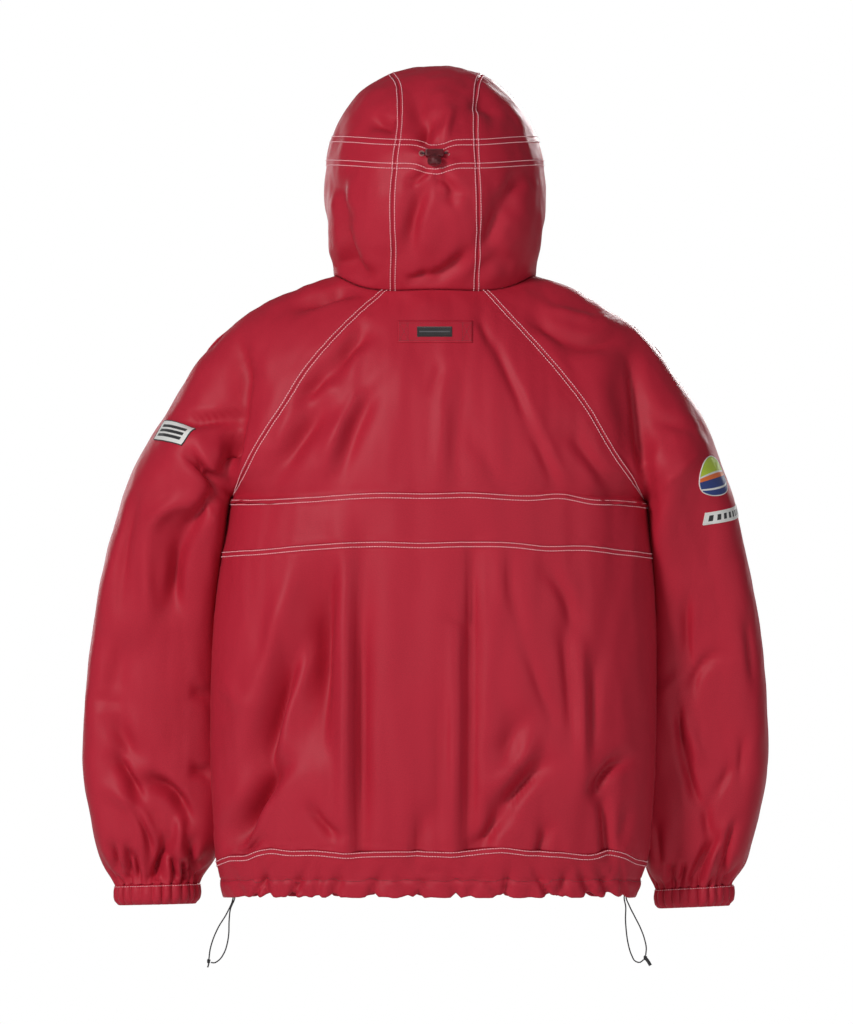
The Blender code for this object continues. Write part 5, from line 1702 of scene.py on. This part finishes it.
# Rows and turns over which a patch's directions are taken, and how far out a sleeve's core lies and how
# far below the patch.
PATCH_ROW_STEP = 0.1
PATCH_TURN_STEP = 0.02
SLEEVE_CORE = (280.0, 40.0)
# Pitch of the embroidery, and how far a border lies over its patch's middle.
PATCH_PITCH = 0.03
BORDER_LIFT = 0.1

# node, name, side, row, turn, up, size, cells, roundness, slot, ground, bars of u, u, v, v and colour,
# border colour
PATCHES = [
    (
        "arm_patch_left", "patch_left_bars", -1, 0.94, -0.29, (0.2, 0.98), (62.0, 27.0), (36, 16), 0.25,
        "patch_white", PATCH_WHITE,
        [(0.1, 0.9, 0.66, 0.8, PATCH_BLACK), (0.1, 0.9, 0.43, 0.57, PATCH_BLACK),
         (0.1, 0.9, 0.2, 0.34, PATCH_BLACK)],
        PATCH_BLACK,
    ),
    (
        "arm_patch_right", "patch_right_bands", 1, 2.0, -0.25, (-0.3, 0.95), (58.0, 46.0), (30, 24), 1.0,
        "patch_yellow", PATCH_LIME,
        [(0.0, 1.0, 0.0, 0.44, PATCH_NAVY), (0.0, 1.0, 0.44, 0.56, PATCH_ORANGE),
         (0.0, 1.0, 0.56, 0.61, PATCH_WHITE), (0.0, 1.0, 0.16, 0.21, PATCH_WHITE)],
        PATCH_WHITE,
    ),
    (
        "arm_tag_right", "tag_right_bars", 1, 3.35, -0.25, (-0.3, 0.95), (62.0, 13.0), (34, 8), 0.0,
        "patch_white", PATCH_WHITE,
        [(0.06 + 0.112 * i, 0.12 + 0.112 * i, 0.24, 0.76, PATCH_BLACK) for i in range(8)],
        PATCH_WHITE,
    ),
]

# Neck tab and its label: middle, width and height, and cells of each.
TAB_MIDDLE = (0.0, -120.0, -48.5)
TAB_SIZE = (86.0, 25.0)
TAB_CELLS = (44, 14)
LABEL_MIDDLE = (-0.5, -120.0, -48.5)
LABEL_SIZE = (40.0, 11.5)
LABEL_CELLS = (20, 6)
# The label's colour, woven line and wall, and how far it lies over the tab's outer face.
LABEL_BLACK = (0.012, 0.012, 0.013)
LABEL_LINE = [(0.06, 0.94, 0.44, 0.56, (0.10, 0.10, 0.11))]
LABEL_WALL = 0.0008
LABEL_GAP = 0.5
# Heights of the tab's stitch rows and their half length, and x of its boxed ends.
TAB_STITCHES = (-58.5, -38.5)
TAB_STITCH_END = 41.0
TAB_BOXES = ((-40.5, -31.0), (31.5, 41.0))
# Sewing of the tab and of the patches' borders, in metres.
TAB_SEWING = {"stitch": 0.0022, "pitch": 0.0026, "thread": 0.0007}
BORDER_SEWING = {"stitch": 0.0021, "pitch": 0.0009, "thread": 0.0016}


def rim_line(points, out, height):
    """Closed line round a sewn-on piece's edge."""
    ring = np.concatenate([points[0], points[1:, -1], points[-1, -2::-1], points[-2:0:-1, 0], points[:1, 0]])
    return ring + out * height


def build_patches():
    """Sleeve patches with generic bars and bands, each with its overlocked border."""
    wall = settings("trim").patch
    seat = (settings("cloth").wall / 2 + wall / 2) / MM + PATCH_GAP
    for node, name, side, row, turn, hint, size, cells, roundness, slot, ground, bars, border in PATCHES:
        centre, across, up = sleeve_frame(side, row, turn, hint)
        sleeve = search_tree(GRIDS["sleeve_left" if side < 0 else "sleeve_right"][0])
        points = sewn_grid(sleeve, centre, across, up, size, cells, seat, roundness)
        face = embroidery(name + "_face", ground, bars, PATCH_PITCH)
        flat_piece(node, name, points, face, slot, wall)
        thread = thread_finish(name + "_border", border)
        ring = rim_line(points, np.cross(across, up), BORDER_LIFT)
        sew(name + "_edge", [ring], thread, **BORDER_SEWING)


def build_neck_tab():
    """Hanger tab under the neck seam with its boxed ends, and a plain woven label on it."""
    across, up = np.array([1.0, 0.0, 0.0]), np.array([0.0, 0.0, 1.0])
    out = np.cross(across, up)
    cloth = settings("cloth")
    wall = cloth.wall / MM
    back = search_tree(GRIDS["back_upper"][0])
    points = sewn_grid(back, np.array(TAB_MIDDLE), across, up, TAB_SIZE, TAB_CELLS, wall + PATCH_GAP)
    flat_piece("neck_tab", "neck_tab_shell", points, cloth_finish(), "shell_cloth", cloth.wall)
    tab = search_tree(points)
    seat = wall / 2 + LABEL_GAP
    label = sewn_grid(tab, np.array(LABEL_MIDDLE), across, up, LABEL_SIZE, LABEL_CELLS, seat)
    black = embroidery("woven_label", LABEL_BLACK, LABEL_LINE, 0.02)
    flat_piece("neck_label", "neck_label_woven", label, black, "black_trim", LABEL_WALL)
    low, high = TAB_STITCHES
    paths = []
    for x0, x1 in TAB_BOXES:
        box = [(x0, low), (x1, low), (x1, high), (x0, high), (x0, low)]
        paths += [box, [(x0, low), (x1, high)], [(x0, high), (x1, low)]]
    paths += [[(-TAB_STITCH_END, z), (TAB_STITCH_END, z)] for z in TAB_STITCHES]
    lines = [traced(tab, path, out, wall / 2 + 0.1) for path in paths]
    tonal = thread_finish("tab_thread", shaded(cloth.colour, 0.62))
    sew("stitching_tab", lines, tonal, **TAB_SEWING)


def traced(tree, path, out, height):
    """A line of x and z corners laid on cloth seen from behind."""
    line = []
    for (x0, z0), (x1, z1) in zip(path, path[1:]):
        steps = max(2, round(math.hypot(x1 - x0, z1 - z0) / 2.0))
        for u in np.linspace(0, 1, steps + 1)[: None if (x1, z1) == path[-1] else -1]:
            spot = np.array([x0 + (x1 - x0) * u, TAB_MIDDLE[1], z0 + (z1 - z0) * u])
            line.append(landed(tree, spot, out) + out * height)
    return line


def cord_curve(name, route, radius, step=2.5):
    """A smooth round cord as one open spline."""
    route = np.array(route, float)
    away = np.concatenate([[0.0], np.cumsum(np.linalg.norm(np.diff(route, axis=0), axis=1))])
    along = spline([(s, *point) for s, point in zip(away, route)])
    count = max(6, round(away[-1] / step) + 1)
    curve = bpy.data.curves.new(name, "CURVE")
    curve.dimensions = "3D"
    curve.bevel_depth = radius
    curve.bevel_resolution = 3
    curve.use_fill_caps = True
    line = curve.splines.new("POLY")
    line.points.add(count - 1)
    for point, s in zip(line.points, np.linspace(0, away[-1], count)):
        point.co = (*(along(s) * MM), 1.0)
    line.use_smooth = True
    made = np.array([point.co[:3] for point in line.points])
    return curve, float(np.linalg.norm(np.diff(made, axis=0), axis=1).sum()), made


def build_hem_cords():
    """Elastic loops at both ends of the hem, each with its knot and tail."""
    radius = settings("trim").cord / 2
    for side, word in SIDES:
        low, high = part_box("hem_eyelet_" + word)
        hole = np.array((low + high) / 2) / MM
        y = LOOP_Y[word]
        inward = np.array([-side, 0.0, 0.0])
        knot = build_knot(word, y, radius)
        for letter, strand in zip("ab", LOOPS[word]):
            apart = np.array([0.0, STRAND_APART if letter == "a" else -STRAND_APART, 0.0])
            route = [hole + apart, hole + apart + inward * LOOP_LEAD]
            route += [np.array([x, y + apart[1], z]) for x, z in strand]
            node = f"hem_cord_{word}_{letter}"
            curve, length, made = cord_curve("elastic_" + node, route, radius)
            thing = put("elastic_" + node, curve, cord_finish(), "black_trim", node)


def build_knot(word, y, radius):
    """Overhand knot of a loop with its short tail."""
    x, z = KNOTS[word]
    centre = np.array([x, y, z])
    tail_x, tail_z, tail_radius = TAILS[word]
    route = []
    for a in np.linspace(*KNOT_ENDS, KNOT_POINTS):
        wide = KNOT_WIDTH[0] + KNOT_WIDTH[1] * math.cos(3 * a)
        high = KNOT_HEIGHT * wide * math.sin(2 * a)
        route.append(centre + np.array([wide * math.cos(2 * a), KNOT_DEPTH * math.sin(3 * a), high]))
    name = "hem_knot_turns_" + word
    knot = tube(name, cord_curve("knot_turns_" + word, route, radius * KNOT_CORD, KNOT_STEP)[0])
    end = np.array([tail_x, y, tail_z])
    route = [centre, (centre + end) / 2 + np.array([TAIL_BOW, 0, 0]), end]
    tail = tube("tail", cord_curve("knot_tail_" + word, route, tail_radius * MM, TAIL_STEP)[0])
    joined = bmesh.new()
    joined.from_mesh(knot)
    joined.from_mesh(tail)
    joined.to_mesh(knot)
    joined.free()
    bpy.data.meshes.remove(tail)
    knot.shade_smooth()
    return put(name, knot, cord_finish(), "black_trim", "hem_knot_" + word)


def tube(name, curve):
    """A curve's tube as a mesh with its caps welded."""
    mesh = made_real(placed(name, curve), name)
    weld(mesh, TUBE_WELD)
    mesh.materials.clear()
    return mesh


def build_cord_lock():
    """Finish of the cord lock, its cords and all eyelets, whose shapes are the frame's."""
    for names, made in (
        (("toggle_body", "toggle_button"), plastic_finish()),
        (("toggle_cord_left", "toggle_cord_right"), cord_finish()),
        (("hood_eyelet_left", "hood_eyelet_right", "hem_eyelet_left", "hem_eyelet_right"), metal_finish()),
    ):
        for name in names:
            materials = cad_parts[name].data.materials
            materials.clear()
            materials.append(made)


def build_camera():
    """Level camera behind the garment, in the photograph's frame."""
    stage = settings("stage")
    data = bpy.data.cameras.new("camera")
    camera = placed("camera", data)
    camera.location = (VIEW_MIDDLE[0] * stage.pixel, -stage.distance, VIEW_MIDDLE[1] * stage.pixel)
    camera.rotation_euler = (math.pi / 2, 0.0, 0.0)
    data.sensor_fit = "VERTICAL"
    data.sensor_height = SENSOR
    data.lens = SENSOR * stage.distance / (VIEW_HEIGHT * stage.pixel)
    data.clip_end = VIEW_REACH * stage.distance
    bpy.context.scene.camera = camera


def area_light(name, place, size, power):
    """A soft square light aimed at the garment's middle."""
    data = bpy.data.lights.new(name, "AREA")
    data.shape = "SQUARE"
    data.size = size
    data.energy = power
    light = placed(name, data)
    light.location = place
    light.rotation_euler = (Vector(LIGHT_AIM) - Vector(place)).to_track_quat("-Z", "Y").to_euler()


def seen_white(tree, first, second, output):
    """Show the first shader to other rays and the second, plain white, to the camera."""
    seen = added(tree, "ShaderNodeLightPath", "Is Camera Ray")
    tree.links.new(added(tree, "ShaderNodeMixShader", 0, {"Fac": seen, 1: first, 2: second}), output)


def build_stage():
    """Pale floor, pale world and soft lights on every side."""
    stage = settings("stage")
    bpy.ops.mesh.primitive_plane_add(size=FLOOR_SIZE * stage.distance, location=(0.0, 0.0, stage.floor))
    floor = bpy.context.object
    floor.name = "floor"
    made, tree, shader = finish("pale_floor", FLOOR_GREY, 0.9)
    glow = added(tree, "ShaderNodeEmission", 0)
    seen_white(tree, shader.outputs[0], glow, tree.nodes["Material Output"].inputs["Surface"])
    floor.data.materials.append(made)
    world = bpy.data.worlds.new("pale_world")
    bpy.context.scene.world = world
    world.use_nodes = True
    tree = world.node_tree
    dim = tree.nodes["Background"]
    dim.inputs["Color"].default_value = AMBIENT_COLOUR
    dim.inputs["Strength"].default_value = stage.ambient
    white = added(tree, "ShaderNodeBackground", 0, {"Color": (1.0, 1.0, 1.0, 1.0)})
    seen_white(tree, dim.outputs[0], white, tree.nodes["World Output"].inputs["Surface"])
    for name, place, size, share in LIGHTS:
        area_light(name, place, size, stage.light * share)
    bpy.context.scene.view_settings.view_transform = "Standard"


class ANORAK_OT_camera(bpy.types.Operator):
    """Add the camera"""

    bl_idname = "anorak.camera"
    bl_label = "Camera"

    def execute(self, context):
        build_camera()
        return {"FINISHED"}


class ANORAK_OT_hem_cords(bpy.types.Operator):
    """Add the elastic loops of the hem"""

    bl_idname = "anorak.hem_cords"
    bl_label = "Hem cords"

    def execute(self, context):
        build_hem_cords()
        return {"FINISHED"}


class ANORAK_OT_body(bpy.types.Operator):
    """Add the back panels, the front and the hem casing"""

    bl_idname = "anorak.body"
    bl_label = "Body panels"

    def execute(self, context):
        build_body()
        return {"FINISHED"}


class ANORAK_OT_sleeves(bpy.types.Operator):
    """Add both sleeves and their cuffs"""

    bl_idname = "anorak.sleeves"
    bl_label = "Sleeves and cuffs"

    def execute(self, context):
        for side, word in SIDES:
            build_sleeve(side, word)
        return {"FINISHED"}


class ANORAK_OT_hood(bpy.types.Operator):
    """Add the three hood panels"""

    bl_idname = "anorak.hood"
    bl_label = "Hood"

    def execute(self, context):
        build_hood()
        return {"FINISHED"}


class ANORAK_OT_stitching(bpy.types.Operator):
    """Add the topstitching"""

    bl_idname = "anorak.stitching"
    bl_label = "Stitching"

    def execute(self, context):
        build_stitching()
        return {"FINISHED"}


class ANORAK_OT_neck_tab(bpy.types.Operator):
    """Add the neck tab and its label"""

    bl_idname = "anorak.neck_tab"
    bl_label = "Neck tab"

    def execute(self, context):
        build_neck_tab()
        return {"FINISHED"}


class ANORAK_OT_patches(bpy.types.Operator):
    """Add the sleeve patches"""

    bl_idname = "anorak.patches"
    bl_label = "Patches"

    def execute(self, context):
        build_patches()
        return {"FINISHED"}


class ANORAK_OT_cord_lock(bpy.types.Operator):
    """Finish the cord lock and the eyelets"""

    bl_idname = "anorak.cord_lock"
    bl_label = "Cord lock"

    def execute(self, context):
        build_cord_lock()
        return {"FINISHED"}


class ANORAK_OT_stage(bpy.types.Operator):
    """Add the floor, the world and the lights"""

    bl_idname = "anorak.stage"
    bl_label = "Stage"

    def execute(self, context):
        build_stage()
        return {"FINISHED"}


OPERATORS = (
    ANORAK_OT_camera,
    ANORAK_OT_hem_cords,
    ANORAK_OT_body,
    ANORAK_OT_sleeves,
    ANORAK_OT_hood,
    ANORAK_OT_stitching,
    ANORAK_OT_neck_tab,
    ANORAK_OT_patches,
    ANORAK_OT_cord_lock,
    ANORAK_OT_stage,
)


class ANORAK_PT_panel(bpy.types.Panel):
    """Lists the garment's pieces and settings."""

    bl_idname = "ANORAK_PT_panel"
    bl_label = "Anorak Pullover"
    bl_space_type = "VIEW_3D"
    bl_region_type = "UI"
    bl_category = "Anorak"

    def draw(self, context):
        for name, kind in SETTINGS:
            box = self.layout.box()
            for key in kind.__annotations__:
                box.prop(getattr(context.scene, name), key)
        for operator in OPERATORS:
            self.layout.operator(operator.bl_idname)


def register():
    """Register the settings, operators and panel."""
    for name, kind in SETTINGS:
        bpy.utils.register_class(kind)
        setattr(bpy.types.Scene, name, bpy.props.PointerProperty(type=kind))
    for kind in (*OPERATORS, ANORAK_PT_panel):
        bpy.utils.register_class(kind)


def unregister():
    """Undo register."""
    for kind in (ANORAK_PT_panel, *reversed(OPERATORS)):
        bpy.utils.unregister_class(kind)
    for name, kind in reversed(SETTINGS):
        delattr(bpy.types.Scene, name)
        bpy.utils.unregister_class(kind)


def main():
    """Build the whole visual model."""
    register()
    bpy.ops.anorak.camera()
    bpy.ops.anorak.hem_cords()
    bpy.ops.anorak.body()
    bpy.ops.anorak.sleeves()
    bpy.ops.anorak.hood()
    bpy.ops.anorak.stitching()
    bpy.ops.anorak.neck_tab()
    bpy.ops.anorak.patches()
    bpy.ops.anorak.cord_lock()
    bpy.ops.anorak.stage()


if __name__ == "__main__":
    main()
